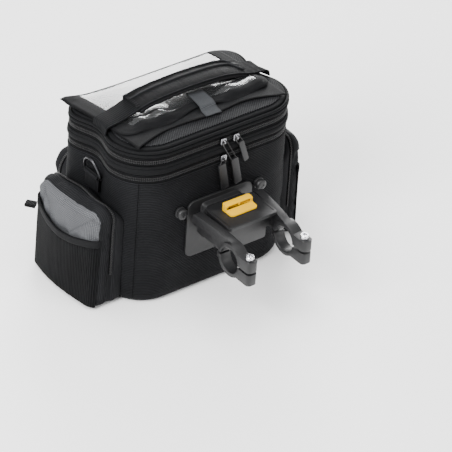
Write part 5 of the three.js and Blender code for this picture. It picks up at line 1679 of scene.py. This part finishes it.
class BAG_OT_bracket(bpy.types.Operator):
    """Builds the bracket, its clamps with their bolts, and the release lever."""

    bl_idname = "bag.bracket"
    bl_label = "Bracket"

    def execute(self, context):
        body = from_node("bracket_body", "bracket_moulding", 1.1 * MM, 3)
        place(body, "plastic", "black_plastic", "bracket", "bracket_body")
        bolt_profile = [
            (0.0, 2.4), (0.4, 2.6), (30.2, 2.6), (30.3, 4.6), (30.7, 5.0),
            (34.6, 5.0), (35.3, 4.4), (35.3, 2.9), (32.6, 2.6), (32.6, 0.4),
        ]
        for side, name in ((1, "right"), (-1, "left")):
            jaw = from_node(f"clamp_jaw_{name}", f"clamp_half_{name}", 0.9 * MM, 3)
            place(jaw, "plastic", "black_plastic", "bracket", f"clamp_jaw_{name}")
            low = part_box(f"clamp_bolt_{name}")[0].z
            bolt = lathe(f"bolt_{name}", bolt_profile, (side * 39 * MM, -185 * MM, low), (0, 0, 1))
            place(bolt, "steel", "bolt_steel", "bracket", f"clamp_bolt_{name}")
        lever = from_node("release_lever", "lever", 0.7 * MM, 4)
        place(lever, "yellow", "yellow_plastic", "lever", "release_lever")
        return {"FINISHED"}


class BAG_OT_stage(bpy.types.Operator):
    """Sets the floor, the soft studio light and the camera at the photograph's angle."""

    bl_idname = "bag.stage"
    bl_label = "Stage"

    def execute(self, context):
        self.floor()
        self.world()
        for name, seat, aim, size, power, colour in (
            ("Left softbox", (-1.7, -0.5, 1.5), (0, 0, 0.1), 1.0, 95.0, (1.0, 1.0, 1.0)),
            ("Front softbox", (1.42, 1.71, 0.98), (0, 0, 0.2), 1.2, 90.0, (1.0, 1.0, 1.0)),
            ("Top softbox", (-0.2, 0.1, 2.4), (0, 0, 0.1), 1.8, 60.0, (1.0, 1.0, 1.0)),
            ("Rider softbox", (0.9, -2.0, 1.3), (0, -0.05, 0.1), 1.0, 22.0, (1.0, 0.99, 0.98)),
        ):
            light = bpy.data.lights.new(name, "AREA")
            light.energy = power
            light.size = size
            light.color = colour
            lamp = add_object(name, light)
            lamp.location = seat
            lamp.rotation_euler = (Vector(aim) - Vector(seat)).to_track_quat("-Z", "Y").to_euler()
        self.camera(context)
        return {"FINISHED"}

    @staticmethod
    def floor():
        mesh = bpy.data.meshes.new("Floor")
        half = 6.0
        mesh.from_pydata([(-half, -half, 0), (half, -half, 0), (half, half, 0), (-half, half, 0)], [], [(0, 1, 2, 3)])
        mesh.uv_layers.new(name="Cloth")
        floor = add_object("Floor", mesh)
        finish = Finish("Floor", (0.93, 0.93, 0.93), 0.8)
        mesh.materials.append(finish.material)

    @staticmethod
    def world():
        world = bpy.data.worlds.new("Studio")
        world.use_nodes = True
        background = world.node_tree.nodes["Background"]
        background.inputs["Color"].default_value = (1.0, 1.0, 1.0, 1.0)
        background.inputs["Strength"].default_value = 0.8
        bpy.context.scene.world = world

    @staticmethod
    def camera(context):
        stage = context.scene.stage_settings
        a, e, roll = stage.azimuth, stage.elevation, stage.roll
        back = Vector((math.sin(a) * math.cos(e), -math.cos(a) * math.cos(e), math.sin(e)))
        right = Vector((math.cos(a), math.sin(a), 0))
        up = back.cross(right)
        rolled_right = right * math.cos(roll) + up * math.sin(roll)
        rolled_up = up * math.cos(roll) - right * math.sin(roll)
        data = bpy.data.cameras.new("Camera")
        data.lens = stage.lens
        data.sensor_width = 36
        data.clip_start, data.clip_end = 0.5, 30
        camera = add_object("Camera", data)
        turn = Matrix((rolled_right, rolled_up, back)).transposed().to_4x4()
        camera.matrix_world = Matrix.Translation(Vector(stage.target) + back * stage.distance) @ turn
        context.scene.camera = camera


class BAG_PT_panel(bpy.types.Panel):
    """Sizes of the bag and a button for each piece."""

    bl_idname = "BAG_PT_panel"
    bl_label = "Handlebar bag"
    bl_space_type = "VIEW_3D"
    bl_region_type = "UI"
    bl_category = "Bag"

    def draw(self, context):
        layout = self.layout
        for group in (context.scene.bag_sizes, context.scene.cloth_settings, context.scene.stage_settings):
            box = layout.box()
            for name in group.bl_rna.properties.keys():
                if name not in ("rna_type", "name"):
                    box.prop(group, name)
        for operator in OPERATORS:
            layout.operator(operator.bl_idname)


OPERATORS = (
    BAG_OT_body, BAG_OT_bands, BAG_OT_zip_teeth, BAG_OT_lid, BAG_OT_sleeve, BAG_OT_handle, BAG_OT_pockets,
    BAG_OT_front, BAG_OT_rings, BAG_OT_sliders, BAG_OT_adapter, BAG_OT_bracket, BAG_OT_stage,
)
CLASSES = (BagSizes, ClothSettings, StageSettings, *OPERATORS, BAG_PT_panel)
FINISHES = {}


def register():
    for item in CLASSES:
        bpy.utils.register_class(item)
    bpy.types.Scene.bag_sizes = bpy.props.PointerProperty(type=BagSizes)
    bpy.types.Scene.cloth_settings = bpy.props.PointerProperty(type=ClothSettings)
    bpy.types.Scene.stage_settings = bpy.props.PointerProperty(type=StageSettings)


def unregister():
    del bpy.types.Scene.stage_settings
    del bpy.types.Scene.cloth_settings
    del bpy.types.Scene.bag_sizes
    for item in reversed(CLASSES):
        bpy.utils.unregister_class(item)


def main():
    register()
    FINISHES.update(make_finishes())
    for operator in OPERATORS:
        family, name = operator.bl_idname.split(".")
        getattr(getattr(bpy.ops, family), name)()


if __name__ == "__main__":
    main()
